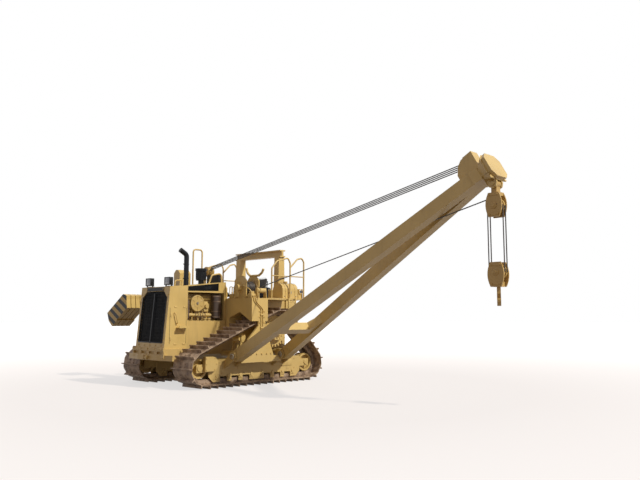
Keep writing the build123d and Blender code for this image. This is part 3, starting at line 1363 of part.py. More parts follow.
def boom_head():
    """Head casting that closes the legs: a collar flared to the end plate, and the hoist's clevis."""
    start = BOOM_LENGTH - HEAD_LENGTH / 2
    end = BOOM_LENGTH + HEAD_LENGTH / 4
    collar_start = end - COLLAR_LENGTH
    depth = LEG_DEPTH / 2
    body = block(HOIST_X - HEAD_HALF, HOIST_X + HEAD_HALF, start, collar_start + OVERRUN, -depth, depth)
    plate = along_y(octagon(HEAD_PLATE_HALF_X, HEAD_PLATE_HALF_Z), end, end + HEAD_PLATE)
    pin_along = BOOM_LENGTH + UPPER_PIN_ALONG
    pocket = block(
        HOIST_X - HEAD_EAR_GAP, HOIST_X + HEAD_EAR_GAP, pin_along - COLLAR_POCKET, end - PLATE,
        -HEAD_PLATE_HALF_Z - OVERRUN, -COLLAR_POCKET_TOP,
    )
    pieces = [body, plate, head_collar() - pocket]
    ear = (
        (pin_along - EAR_HALF, 0),
        (pin_along - EAR_HALF + PLATE, -UPPER_PIN_BELOW - PLATE),
        (pin_along - EAR_TIP_HALF, -UPPER_PIN_BELOW - EAR_BELOW_PIN),
        (pin_along + EAR_TIP_HALF, -UPPER_PIN_BELOW - EAR_BELOW_PIN),
        (pin_along + EAR_HALF - PLATE, -UPPER_PIN_BELOW - PLATE),
        (pin_along + EAR_HALF, 0),
    )
    for side in (-1, 1):
        inner = HOIST_X + side * HEAD_EAR_GAP
        low, high = sorted((inner, inner + side * HEAD_EAR))
        pieces.append(along_x(ear, low, high))
    reach = HEAD_EAR_GAP + HEAD_EAR + PLATE
    pin = rod(
        (HOIST_X - reach, pin_along, -UPPER_PIN_BELOW), (HOIST_X + reach, pin_along, -UPPER_PIN_BELOW),
        UPPER_PIN_RADIUS,
    )
    return BOOM_PLACE * fuse(pieces + [pin])


def sheave(x, y, z, radius, bore):
    """Grooved rope wheel on an axis along x."""
    half = LINE_PITCH / 2 - SHEAVE_SIDE_GAP
    groove = radius - SHEAVE_GROOVE
    profile = (
        (bore, -half),
        (radius, -half),
        (groove, -ROPE_RADIUS),
        (groove, ROPE_RADIUS),
        (radius, half),
        (bore, half),
    )
    wheel = revolve(Plane.XZ * outline(profile), axis=Axis.Z)
    return Pos(x, y, z) * Rot(0, 90, 0) * wheel


def line_places():
    """x of each of the boom line's parallel ropes."""
    return [HOIST_X + (index - (LINE_SHEAVES - 1) / 2) * LINE_PITCH for index in range(LINE_SHEAVES)]


def head_sheaves():
    """Boom-line sheaves on top of the head in a boxed housing that is open towards the tractor."""
    base = LEG_DEPTH / 2
    along = LINE_SHEAVE_ALONG
    above = base + LINE_SHEAVE_ABOVE
    reach = LINE_SPAN + PLATE
    pieces = [rod((HOIST_X - reach, along, above), (HOIST_X + reach, along, above), SHEAVE_SHAFT_RADIUS)]
    for x in line_places():
        pieces.append(sheave(x, along, above, LINE_SHEAVE_RADIUS, SHEAVE_SHAFT_RADIUS - SEAT_GAP))
    side = [(along + run, base + rise) for run, rise in HOUSING_PATH]
    for face in (-1, 1):
        low, high = sorted((HOIST_X + face * LINE_SPAN, HOIST_X + face * reach))
        pieces.append(along_x(side, low, high))
    back, top = side[-2]
    pieces.append(
        block(HOIST_X - reach, HOIST_X + reach, along + HOUSING_COVER_START, back, top, top + PLATE)
    )
    pieces.append(block(HOIST_X - reach, HOIST_X + reach, back - PLATE, back, base, top + PLATE))
    return BOOM_PLACE * (fuse(pieces) - head_collar())


UPPER_PIN = boom_point(HOIST_X, BOOM_LENGTH + UPPER_PIN_ALONG, -UPPER_PIN_BELOW)
BLOCK_SHEAVE_RADIUS = 165
BLOCK_HALF_WIDTH = 100
BLOCK_CHEEK = 24
BLOCK_DISC_INSET = 20
BLOCK_DISC_HALF = 25
BLOCK_AXLE_RADIUS = 40
BARREL_STEPS = 8
BARREL_SHARE = 0.36
SHANK_HALF = 55
SHANK_EYE_RADIUS = 75
BRIDGE_HALF = 110
FALL_SPACING = 90
UPPER_SHEAVE_DROP = 400
BLOCK_DISC_RADIUS = BLOCK_SHEAVE_RADIUS - BLOCK_DISC_INSET
FALL_REACH = BLOCK_DISC_RADIUS + ROPE_RADIUS + SEAT_GAP
LOWER_SHEAVE_DROP = 185
CROSSHEAD_HALF = 90
CROSSHEAD_HEIGHT = 110
CROSSHEAD_RISE = 20
HOOK_SHANK_RADIUS = 34
BRIDGE_LOW = 175
BRIDGE_HIGH = 240


def barrel(y, bottom, top):
    """Side view of a block's cheek, bulged like a barrel, as (y, z) points."""
    half = (top - bottom) / 2
    right = []
    for index in range(BARREL_STEPS + 1):
        place = 2 * index / BARREL_STEPS - 1
        right.append((BLOCK_SHEAVE_RADIUS * (1 - BARREL_SHARE * place ** 2), bottom + half + half * place))
    left = [(-reach, z) for reach, z in right[::-1]]
    return [(y + reach, z) for reach, z in right + left]


def block_inside(x, y, z):
    """Axle and two sheaves of a hoist block."""
    pieces = [rod((x - BLOCK_HALF_WIDTH, y, z), (x + BLOCK_HALF_WIDTH, y, z), BLOCK_AXLE_RADIUS)]
    for side in (-1, 1):
        middle = x + side * FALL_SPACING / 2
        disc_start = (middle - BLOCK_DISC_HALF, y, z)
        pieces.append(rod(disc_start, (middle + BLOCK_DISC_HALF, y, z), BLOCK_DISC_RADIUS))
    return pieces


def cheeks(x, side_view):
    """The two outer plates of a hoist block."""
    plates = []
    for side in (-1, 1):
        outer = x + side * BLOCK_HALF_WIDTH
        low, high = sorted((outer, outer - side * BLOCK_CHEEK))
        plates.append(along_x(side_view, low, high))
    return plates


def upper_block():
    """Upper hoist block: shank on the head's pin, two barrel-shaped cheeks and the sheaves between them."""
    x, y, z = UPPER_PIN
    shank_half = HEAD_EAR_GAP - RUNNING_CLEARANCE
    sheave_z = z - UPPER_SHEAVE_DROP
    eye = rod((x - shank_half, y, z), (x + shank_half, y, z), SHANK_EYE_RADIUS)
    shank = block(x - shank_half, x + shank_half, y - SHANK_HALF, y + SHANK_HALF, sheave_z + BRIDGE_LOW, z)
    bore = rod((x - BLOCK_HALF_WIDTH, y, z), (x + BLOCK_HALF_WIDTH, y, z), UPPER_PIN_RADIUS + PIN_CLEARANCE)
    bridge = block(
        x - BLOCK_HALF_WIDTH, x + BLOCK_HALF_WIDTH, y - BRIDGE_HALF, y + BRIDGE_HALF,
        sheave_z + BRIDGE_LOW, sheave_z + BRIDGE_HIGH,
    )
    side_view = barrel(y, z - UPPER_BLOCK_DROP, sheave_z + BRIDGE_HIGH)
    return fuse([eye + shank - bore, bridge] + cheeks(x, side_view) + block_inside(x, y, sheave_z))


def lower_block():
    """Lower hoist block with its crosshead below."""
    x, y, _ = UPPER_PIN
    bottom = LOWER_BLOCK_BOTTOM_Z
    low = bottom + CROSSHEAD_RISE
    high = bottom + CROSSHEAD_HEIGHT
    crosshead = block(
        x - BLOCK_HALF_WIDTH, x + BLOCK_HALF_WIDTH, y - CROSSHEAD_HALF, y + CROSSHEAD_HALF, low, high
    )
    hole = rod((x, y, bottom), (x, y, high + OVERRUN), HOOK_SHANK_RADIUS + PIN_CLEARANCE)
    plates = cheeks(x, barrel(y, low, LOWER_BLOCK_TOP_Z))
    return fuse([crosshead] + plates + block_inside(x, y, LOWER_BLOCK_TOP_Z - LOWER_SHEAVE_DROP)) - hole


HOOK_OUTER_RADIUS = 112
HOOK_THROAT_RADIUS = 52
HOOK_THICK = 70
HOOK_YAW = 30
THROAT_X = 14
THROAT_Z = 12
HOOK_ARC_STEPS = 16
HOOK_SHANK_LENGTH = 110


def arc_points(centre, radius, first, last):
    """Evenly spaced points on an arc between two angles in degrees."""
    steps = HOOK_ARC_STEPS
    angles = [radians(first + (last - first) * index / steps) for index in range(steps + 1)]
    return [(centre[0] + radius * cos(angle), centre[1] + radius * sin(angle)) for angle in angles]


def hook():
    """Swivel hook: an open bowl, its neck, and a round shank in the lower block's crosshead."""
    x, y, _ = UPPER_PIN
    outer = arc_points((0, 0), HOOK_OUTER_RADIUS, 110, 375)
    inner = arc_points((THROAT_X, THROAT_Z), HOOK_THROAT_RADIUS, 15, -255)
    top = LOWER_BLOCK_BOTTOM_Z - HOOK_TIP_Z - HOOK_OUTER_RADIUS
    half = HOOK_SHANK_RADIUS
    neck = [(half, HOOK_OUTER_RADIUS), (half, top), (-half, top)]
    body = along_y(outer + inner + neck, -HOOK_THICK / 2, HOOK_THICK / 2)
    shank = rod((0, 0, top - OVERRUN), (0, 0, top + HOOK_SHANK_LENGTH), HOOK_SHANK_RADIUS)
    return Pos(x, y, HOOK_TIP_Z + HOOK_OUTER_RADIUS) * Rot(0, 0, HOOK_YAW) * (body + shank)


FERRULE_LENGTH = 160


def upper_tangent(first, first_radius, second, second_radius):
    """Touch points (y, z) of the straight rope that lies on top of two round pulleys."""
    dy = second[0] - first[0]
    dz = second[1] - first[1]
    angle = atan2(dz, dy) + acos((first_radius - second_radius) / hypot(dy, dz))
    start = (first[0] + first_radius * cos(angle), first[1] + first_radius * sin(angle))
    end = (second[0] + second_radius * cos(angle), second[1] + second_radius * sin(angle))
    return start, end


def rope_sleeve(x, start, end, share):
    """First part of a rope: a tube that reaches a share of the way, with room inside for the second part."""
    a = Vector(x, *start)
    b = a + (Vector(x, *end) - a) * share
    return rod(tuple(a), tuple(b), ROPE_RADIUS) - rod(tuple(a), tuple(b), ROPE_BORE_RADIUS)


def rope_core(x, start, end, share):
    """Second part of a rope: a thin bar from a share of the way to the end, thick again at its end."""
    a = Vector(x, *start)
    b = Vector(x, *end)
    run = (b - a).normalized()
    bar = rod(tuple(a + (b - a) * share), tuple(b), ROPE_CORE_RADIUS)
    return bar + rod(tuple(b - run * FERRULE_LENGTH), tuple(b), ROPE_RADIUS)


LINE_PIN_RADIUS = 38
LINE_PIVOT_OUT = 120
LINE_BLOCK_PIVOT = (-BODY_HALF_WIDTH - LINE_PIVOT_OUT, 2890)
LINE_HUB_RADIUS = 60
LINE_BLOCK_RADIUS = 120
LINE_BLOCK_REACH = LINE_BLOCK_RADIUS + ROPE_RADIUS + SEAT_GAP
LINE_HEAD_REACH = LINE_SHEAVE_RADIUS - SHEAVE_GROOVE + ROPE_RADIUS + SEAT_GAP
LINE_HEAD_CENTRE = boom_point(HOIST_X, LINE_SHEAVE_ALONG, LEG_DEPTH / 2 + LINE_SHEAVE_ABOVE)[1:]
ROPE_SLEEVE_SHARE = 0.56
ROPE_CORE_SHARE = 0.44


def boom_line(part, share):
    """One part of each of the boom line's ropes between the tractor's block and the head's sheaves."""
    start, end = upper_tangent(LINE_BLOCK_PIVOT, LINE_BLOCK_REACH, LINE_HEAD_CENTRE, LINE_HEAD_REACH)
    return group(part(x, start, end, share) for x in line_places())


LOAD_LINE_X = HOIST_X + FALL_SPACING / 2


def load_line(part, share):
    """One part of the load line between the guide roller and the upper block."""
    sheave_place = (UPPER_PIN[1], UPPER_PIN[2] - UPPER_SHEAVE_DROP)
    reach = FAIRLEAD_RADIUS + ROPE_RADIUS + SEAT_GAP
    start, end = upper_tangent(FAIRLEAD_AXLE, reach, sheave_place, FALL_REACH)
    return part(LOAD_LINE_X, start, end, share)


def hoist_falls():
    """Four falls between the two blocks, tangent to their sheaves."""
    x, y, z = UPPER_PIN
    low = LOWER_BLOCK_TOP_Z - LOWER_SHEAVE_DROP
    high = z - UPPER_SHEAVE_DROP
    falls = []
    for dx in (-FALL_SPACING / 2, FALL_SPACING / 2):
        for dy in (-FALL_REACH, FALL_REACH):
            falls.append(rod((x + dx, y + dy, low), (x + dx, y + dy, high), ROPE_RADIUS))
    return group(falls)


def boom_line_block():
    """Grooved sheaves on one hub in the right mast, in which the boom line is reeved."""
    y, z = LINE_BLOCK_PIVOT
    hub = rod((HOIST_X - LINE_SPAN, y, z), (HOIST_X + LINE_SPAN, y, z), LINE_HUB_RADIUS)
    wheels = [sheave(x, y, z, LINE_BLOCK_RADIUS + SHEAVE_GROOVE, LINE_PIN_RADIUS) for x in line_places()]
    reach = LINE_SPAN + OVERRUN
    bore = rod((HOIST_X - reach, y, z), (HOIST_X + reach, y, z), LINE_PIN_RADIUS + PIN_CLEARANCE)
    return fuse([hub] + wheels) - bore


FRAME_BODY_GAP = 80
FRAME_WIDTH = 150
RIGHT_FRAME = dict(
    rear_x=-110, front_x=1150, inner_y=-BODY_HALF_WIDTH - FRAME_BODY_GAP,
    outer_y=-BODY_HALF_WIDTH - FRAME_BODY_GAP - FRAME_WIDTH, low_z=1780, deep_z=1500, deep_x=640,
    knee=120, front_z=2000, slope_x=850, top_z=2290, foot=60,
)
MAST_PLATE = 36
MAST_HEAD = 60
MAST_HEAD_HALF = 30
LUG_SHARES = ((120, 0), (80, 60), (0, 90), (-80, 60))
CYLINDER_EAR_RISE = 90
CYLINDER_EAR_OUT = 55
CYLINDER_EAR_TIP = 50
CYLINDER_EYE_SHARE = 0.7
ARM_PIN_RADIUS = 45
ARM_X = (760, 1006)
ARM_THICK = 34
CYLINDER_X = 900
CYLINDER_PIN_OUT = 320
CYLINDER_PIN = (-BODY_HALF_WIDTH - CYLINDER_PIN_OUT, 2200)
CYLINDER_RADIUS = 62
CYLINDER_PIN_RADIUS = 32
ROD_EYE_HALF = 40


def x_plates(side_view, middle, half_gap, thick):
    """Two plates across x on both sides of a gap."""
    plates = []
    for side in (-1, 1):
        inner = middle + side * half_gap
        low, high = sorted((inner, inner + side * thick))
        plates.append(along_x(side_view, low, high))
    return plates


def right_frame():
    """Side frame on the right: it carries the counterweight's arms and cylinder, and the boom-line block."""
    f = RIGHT_FRAME
    outer = f["outer_y"]
    inner = f["inner_y"]
    girder = along_y(
        (
            (f["rear_x"], f["low_z"]),
            (f["deep_x"] - f["knee"], f["low_z"]),
            (f["deep_x"], f["deep_z"]),
            (f["front_x"], f["deep_z"]),
            (f["front_x"], f["front_z"]),
            (f["slope_x"], f["top_z"]),
            (f["rear_x"], f["top_z"]),
        ),
        outer, inner,
    )
    foot = block(f["deep_x"], f["front_x"], inner, -BODY_HALF_WIDTH, f["deep_z"], f["deep_z"] + f["foot"])
    shelf = block(f["rear_x"], PORTAL_FRONT_X, inner, -BODY_HALF_WIDTH, f["low_z"], PORTAL_TOP_Z)
    pieces = [girder, foot, shelf]
    y, z = LINE_BLOCK_PIVOT
    mast = (
        (outer, f["top_z"]),
        (inner, f["top_z"]),
        (inner, z - MAST_HEAD),
        (y + MAST_HEAD_HALF, z + MAST_HEAD),
        (y - MAST_HEAD_HALF, z + MAST_HEAD),
        (outer, z - MAST_HEAD),
    )
    half = LINE_SPAN + RUNNING_CLEARANCE
    pieces += x_plates(mast, HOIST_X, half, MAST_PLATE)
    reach = half + MAST_PLATE
    pieces.append(rod((HOIST_X - reach, y, z), (HOIST_X + reach, y, z), LINE_PIN_RADIUS))
    lug = [(outer, f["deep_z"])]
    for rise, out in LUG_SHARES:
        lug.append((ARM_PIN_Y - out if out else outer, ARM_PIN_Z + rise))
    for x in ARM_X:
        pieces += x_plates(lug, x + ARM_THICK / 2, ARM_THICK / 2 + RUNNING_CLEARANCE, ARM_THICK)
    pin_start = (ARM_X[0] - 2 * ARM_THICK, ARM_PIN_Y, ARM_PIN_Z)
    pieces.append(rod(pin_start, (ARM_X[1] + 3 * ARM_THICK, ARM_PIN_Y, ARM_PIN_Z), ARM_PIN_RADIUS))
    ky, kz = CYLINDER_PIN
    ear = (
        (outer, kz - CYLINDER_EAR_RISE),
        (ky - CYLINDER_EAR_OUT, kz - CYLINDER_EAR_TIP),
        (ky - CYLINDER_EAR_OUT, kz + CYLINDER_EAR_TIP),
        (outer, kz + CYLINDER_EAR_RISE),
    )
    pieces += x_plates(ear, CYLINDER_X, CYLINDER_RADIUS * CYLINDER_EYE_SHARE + RUNNING_CLEARANCE, MAST_PLATE)
    reach = CYLINDER_RADIUS + MAST_PLATE
    pieces.append(rod((CYLINDER_X - reach, ky, kz), (CYLINDER_X + reach, ky, kz), CYLINDER_PIN_RADIUS))
    return fuse(pieces)


HOUSING = dict(x0=660, x1=1000, inner_y=-660, outer_y=-940, z0=2400, z1=2905, corner=90, foot_x1=840)


def right_housing():
    """Housing of the right side's hydraulic valves, with cut upper corners, on a foot on the side frame."""
    corner = HOUSING["corner"]
    front_view = (
        (HOUSING["outer_y"], HOUSING["z0"]),
        (HOUSING["inner_y"], HOUSING["z0"]),
        (HOUSING["inner_y"], HOUSING["z1"] - corner),
        (HOUSING["inner_y"] - corner, HOUSING["z1"]),
        (HOUSING["outer_y"] + corner, HOUSING["z1"]),
        (HOUSING["outer_y"], HOUSING["z1"] - corner),
    )
    case = along_x(front_view, HOUSING["x0"], HOUSING["x1"])
    foot = block(
        HOUSING["x0"], HOUSING["foot_x1"], RIGHT_FRAME["outer_y"], HOUSING["inner_y"],
        RIGHT_FRAME["top_z"], HOUSING["z0"] + OVERRUN,
    )
    return case + foot


WEIGHT_PIN_RADIUS = 45
ARM_ROOT_RADIUS = 95
ARM_TIP_RADIUS = 80
ARM_BRACE = 60
ARM_BRACE_SHARE = 0.5


def counterweight_arms():
    """Pair of arms from the side frame to the counterweight's shaft, joined by a cross tube."""
    q = Vector(ARM_PIN_Y, ARM_PIN_Z)
    s = Vector(*WEIGHT_PIN)
    run = (s - q).normalized()
    normal = Vector(-run.Y, run.X)
    pieces = []
    for x in ARM_X:
        corners = (
            q + normal * ARM_ROOT_RADIUS, q - normal * ARM_ROOT_RADIUS,
            s - normal * ARM_TIP_RADIUS, s + normal * ARM_TIP_RADIUS,
        )
        bar = along_x([(c.X, c.Y) for c in corners], x, x + ARM_THICK)
        root = rod((x, q.X, q.Y), (x + ARM_THICK, q.X, q.Y), ARM_ROOT_RADIUS)
        tip = rod((x, s.X, s.Y), (x + ARM_THICK, s.X, s.Y), ARM_TIP_RADIUS)
        pieces.append(fuse([bar, root, tip]))
    brace = q + (s - q) * ARM_BRACE_SHARE
    pieces.append(rod((ARM_X[0], brace.X, brace.Y), (ARM_X[1] + ARM_THICK, brace.X, brace.Y), ARM_BRACE))
    eye = q + (s - q) * ROD_EYE_SHARE
    gap = ROD_EYE_HALF + RUNNING_CLEARANCE
    pieces.append(rod((ARM_X[0], eye.X, eye.Y), (CYLINDER_X - gap, eye.X, eye.Y), CYLINDER_PIN_RADIUS))
    pin_end = (ARM_X[1] + ARM_THICK, eye.X, eye.Y)
    pieces.append(rod((CYLINDER_X + gap, eye.X, eye.Y), pin_end, CYLINDER_PIN_RADIUS))
    arms = fuse(pieces)
    for place, radius in ((q, ARM_PIN_RADIUS), (s, WEIGHT_PIN_RADIUS)):
        arms = arms - rod(
            (ARM_X[0] - OVERRUN, place.X, place.Y), (ARM_X[1] + ARM_THICK + OVERRUN, place.X, place.Y),
            radius + PIN_CLEARANCE,
        )
    return arms


def weight_frame_point(along, down):
    """(y, z) of a point of the slabs, measured from their inner top corner."""
    angle = radians(WEIGHT_ANGLE)
    y, z = WEIGHT_INNER_TOP
    return (y - along * cos(angle) + down * sin(angle), z - along * sin(angle) - down * cos(angle))


SLAB_BULGE = 30
SLAB_CUT = 60
SLAB_STEP_SHARE = 0.62
SLAB_STEP = 28
SLAB_HOOK_SHARE = 1.6
TIE_ROD_SHARES = (0.3, 0.8)
TIE_ROD_RADIUS = 40


def counterweight():
    """Four slabs side by side on two rods and on the shaft that hangs in the arms."""
    hang_y = WEIGHT_PIN[0] + WEIGHT_PIN_RADIUS * SLAB_HOOK_SHARE
    corners = [
        weight_frame_point(0, 0),
        weight_frame_point(WEIGHT_LENGTH, 0),
        weight_frame_point(WEIGHT_LENGTH + SLAB_BULGE, WEIGHT_DEPTH / 2),
        weight_frame_point(WEIGHT_LENGTH - SLAB_CUT, WEIGHT_DEPTH),
        weight_frame_point(WEIGHT_LENGTH * SLAB_STEP_SHARE, WEIGHT_DEPTH),
        weight_frame_point(WEIGHT_LENGTH * SLAB_STEP_SHARE, WEIGHT_DEPTH - SLAB_STEP),
        weight_frame_point(0, WEIGHT_DEPTH - SLAB_STEP),
        (hang_y, WEIGHT_PIN[1] - WEIGHT_PIN_RADIUS),
        (hang_y, WEIGHT_PIN[1] + WEIGHT_PIN_RADIUS),
    ]
    slabs = []
    for index in range(SLABS):
        front = WEIGHT_FRONT_X - index * (SLAB_THICK + SLAB_GAP)
        slabs.append(along_x(corners, front - SLAB_THICK, front))
    rear = WEIGHT_FRONT_X - SLABS * SLAB_THICK - (SLABS - 1) * SLAB_GAP
    bars = []
    for share in TIE_ROD_SHARES:
        y, z = weight_frame_point(WEIGHT_LENGTH * share, WEIGHT_DEPTH / 2)
        bars.append(rod((rear, y, z), (WEIGHT_FRONT_X, y, z), TIE_ROD_RADIUS))
    shaft = rod(
        (ARM_X[0] - PLATE, WEIGHT_PIN[0], WEIGHT_PIN[1]), (WEIGHT_FRONT_X, WEIGHT_PIN[0], WEIGHT_PIN[1]),
        WEIGHT_PIN_RADIUS,
    )
    return fuse([shaft] + bars + slabs)


ROD_EYE_SHARE = 0.75
BARREL_LENGTH = 680
ROD_LENGTH = 585
PISTON_ROD_RADIUS = 36
BARREL_START = 120
BARREL_BOTTOM = 160
BARREL_NECK_RADIUS = 40
CYLINDER_EYE_RADIUS = 52


def cylinder_line():
    """Ends of the counterweight cylinder: its pin on the side frame, and its rod's eye on the arms."""
    y = ARM_PIN_Y + (WEIGHT_PIN[0] - ARM_PIN_Y) * ROD_EYE_SHARE
    z = ARM_PIN_Z + (WEIGHT_PIN[1] - ARM_PIN_Z) * ROD_EYE_SHARE
    return Vector(CYLINDER_X, *CYLINDER_PIN), Vector(CYLINDER_X, y, z)


def cylinder_barrel():
    """Barrel of the counterweight cylinder, with its eye."""
    start, end = cylinder_line()
    run = (end - start).normalized()
    mouth = start + run * BARREL_LENGTH
    body = rod(tuple(start + run * BARREL_START), tuple(mouth), CYLINDER_RADIUS)
    bore = rod(
        tuple(start + run * BARREL_BOTTOM), tuple(mouth + run * OVERRUN),
        PISTON_ROD_RADIUS + PIN_CLEARANCE,
    )
    half = CYLINDER_RADIUS * CYLINDER_EYE_SHARE
    eye = rod(
        (CYLINDER_X - half, start.Y, start.Z), (CYLINDER_X + half, start.Y, start.Z), CYLINDER_EYE_RADIUS
    )
    neck = rod(tuple(start), tuple(start + run * (BARREL_START + OVERRUN)), BARREL_NECK_RADIUS)
    hole = rod(
        (CYLINDER_X - CYLINDER_RADIUS, start.Y, start.Z), (CYLINDER_X + CYLINDER_RADIUS, start.Y, start.Z),
        CYLINDER_PIN_RADIUS + PIN_CLEARANCE,
    )
    return fuse([body - bore, neck, eye]) - hole


def cylinder_rod():
    """Rod of the counterweight cylinder, open at its eye."""
    start, end = cylinder_line()
    run = (end - start).normalized()
    bar = rod(tuple(end - run * ROD_LENGTH), tuple(end), PISTON_ROD_RADIUS)
    eye = rod(
        (CYLINDER_X - ROD_EYE_HALF, end.Y, end.Z), (CYLINDER_X + ROD_EYE_HALF, end.Y, end.Z),
        CYLINDER_EYE_RADIUS,
    )
    return bar + eye


def build():
    """All nodes by name, in the tractor frame."""
    nodes = {}
    for name, maker in (
        ("track", track),
        ("running_wheels", running_wheels),
        ("sprocket", sprocket),
        ("roller_frame", roller_frame),
    ):
        piece = maker()
        nodes[name + "_left"] = piece
        nodes[name + "_right"] = mirrored(piece)
    for maker in (
        main_frame, track_ties, engine, engine_dressing, radiator_guard, grille, front_lower_guard, hood,
        bulkhead, exhaust_stack, precleaner, headlights, portal_frame, decks, winch_frame, fairlead, console,
        seat, side_tank, rear_tank, drawbar, rops, handrails, boom_foot_brackets, boom_cross_member,
        boom_head, head_sheaves,
        upper_block, lower_block, hook, hoist_falls, boom_line_block, right_frame, right_housing,
        counterweight_arms, counterweight, cylinder_barrel, cylinder_rod,
    ):
        nodes[maker.__name__] = maker()
    nodes["boom_winch_drum"] = winch_drum(BOOM_WINCH_Y)
    nodes["load_winch_drum"] = winch_drum(LOAD_WINCH_Y)
    nodes["boom_leg_front"] = boom_leg(BOOM_FRONT_FOOT_X)
    nodes["boom_leg_rear"] = boom_leg(BOOM_REAR_FOOT_X)
    nodes["boom_line_near"] = boom_line(rope_sleeve, ROPE_SLEEVE_SHARE)
    nodes["boom_line_far"] = boom_line(rope_core, ROPE_CORE_SHARE)
    nodes["load_line_near"] = load_line(rope_sleeve, ROPE_SLEEVE_SHARE)
    nodes["load_line_far"] = load_line(rope_core, ROPE_CORE_SHARE)
    return nodes


def write(nodes):
    """One file per node, moved so that the origin is the bottom centre of the whole."""
    boxes = [shape.bounding_box() for shape in nodes.values()]
    low = [min(getattr(box.min, axis) for box in boxes) for axis in "XYZ"]
    high = [max(getattr(box.max, axis) for box in boxes) for axis in "XYZ"]
    origin = Vector((low[0] + high[0]) / 2, (low[1] + high[1]) / 2, low[2])
    os.makedirs("parts", exist_ok=True)
    for name, shape in nodes.items():
        export_step(Pos(-origin.X, -origin.Y, -origin.Z) * shape, f"parts/{name}.step")
    print("origin in the tractor frame", round(origin.X, 3), round(origin.Y, 3), round(origin.Z, 3))
    return origin


NODES = build()
ORIGIN = write(NODES)
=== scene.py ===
from math import atan2, cos, pi, radians, sin

import bmesh
import bpy
from mathutils import Matrix, Vector


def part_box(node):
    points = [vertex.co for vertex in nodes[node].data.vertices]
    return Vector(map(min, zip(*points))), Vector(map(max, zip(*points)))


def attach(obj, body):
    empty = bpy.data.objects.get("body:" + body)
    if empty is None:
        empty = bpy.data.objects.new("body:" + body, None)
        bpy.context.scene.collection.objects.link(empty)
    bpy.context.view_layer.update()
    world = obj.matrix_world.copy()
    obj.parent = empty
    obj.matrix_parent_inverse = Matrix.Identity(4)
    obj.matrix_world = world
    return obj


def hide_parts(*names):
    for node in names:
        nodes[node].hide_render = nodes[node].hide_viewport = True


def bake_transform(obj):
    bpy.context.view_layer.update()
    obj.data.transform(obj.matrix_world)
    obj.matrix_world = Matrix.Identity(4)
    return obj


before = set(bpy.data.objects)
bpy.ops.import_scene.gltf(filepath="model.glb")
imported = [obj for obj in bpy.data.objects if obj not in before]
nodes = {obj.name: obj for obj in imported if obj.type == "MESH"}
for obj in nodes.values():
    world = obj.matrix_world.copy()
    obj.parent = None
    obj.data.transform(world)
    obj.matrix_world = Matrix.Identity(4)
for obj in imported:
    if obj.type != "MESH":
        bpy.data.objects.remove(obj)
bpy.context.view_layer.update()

# Main frame: the welded belly, case and rear house between the tracks, with the drawbar behind.
# Thick steel plate under machine paint, faded above and dusty near the ground.
BELLY_NODES = ("main_frame", "track_ties", "drawbar", "front_lower_guard")
SPROCKET_X = -0.690
SPROCKET_Z = 1.320


def tractor_origin():
    """Ground point midway between the tracks, in the row frame, found from the sprockets."""
    left_low, left_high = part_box("sprocket_left")
    right_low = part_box("sprocket_right")[0]
    x = (left_low.x + left_high.x) / 2 - SPROCKET_X
    return Vector((x, (left_high.y + right_low.y) / 2, 0))


MIDDLE = tractor_origin()


def value_math(tree, operation, first, second=0.5, third=0.5, clamp=False):
    """A Math node; each input is a socket or a number."""
    node = tree.nodes.new("ShaderNodeMath")
    node.operation = operation
    node.use_clamp = clamp
    for index, value in enumerate((first, second, third)):
        if hasattr(value, "is_linked"):
            tree.links.new(value, node.inputs[index])
        else:
            node.inputs[index].default_value = value
    return node.outputs[0]


def mix_colour(tree, factor, first, second, blend="MIX"):
    """A colour mix; each input is a socket, a number or a colour."""
    node = tree.nodes.new("ShaderNodeMix")
    node.data_type = "RGBA"
    node.blend_type = blend
    for socket, value in ((node.inputs[0], factor), (node.inputs[6], first), (node.inputs[7], second)):
        if hasattr(value, "is_linked"):
            tree.links.new(value, socket)
        elif isinstance(value, float):
            socket.default_value = value
        else:
            socket.default_value = (*value, 1)
    return node.outputs[2]


def noise(tree, scale, detail=4.0, stretch=(1, 1, 1)):
    """Noise on Object coordinates, stretched along an axis where wear runs that way."""
    mapping = tree.nodes.new("ShaderNodeMapping")
    mapping.inputs["Scale"].default_value = stretch
    tree.links.new(tree.nodes.new("ShaderNodeTexCoord").outputs["Object"], mapping.inputs["Vector"])
    texture = tree.nodes.new("ShaderNodeTexNoise")
    texture.inputs["Scale"].default_value = scale
    texture.inputs["Detail"].default_value = detail
    tree.links.new(mapping.outputs[0], texture.inputs["Vector"])
    return texture.outputs["Fac"]


def object_axes(tree):
    """The x, y and z of Object coordinates, each as a socket."""
    separate = tree.nodes.new("ShaderNodeSeparateXYZ")
    tree.links.new(tree.nodes.new("ShaderNodeTexCoord").outputs["Object"], separate.inputs[0])
    return separate.outputs


def group_sockets(name, inputs, outputs):
    """A new shader node group with named sockets, and its input and output nodes."""
    group = bpy.data.node_groups.new(name, "ShaderNodeTree")
    for label, kind, default in inputs:
        socket = group.interface.new_socket(label, in_out="INPUT", socket_type=kind)
        socket.default_value = default
    for label, kind in outputs:
        group.interface.new_socket(label, in_out="OUTPUT", socket_type=kind)
    return group, group.nodes.new("NodeGroupInput"), group.nodes.new("NodeGroupOutput")


STREAK_BROWN = (0.2, 0.13, 0.06)
CHIP_BROWN = (0.09, 0.05, 0.03)


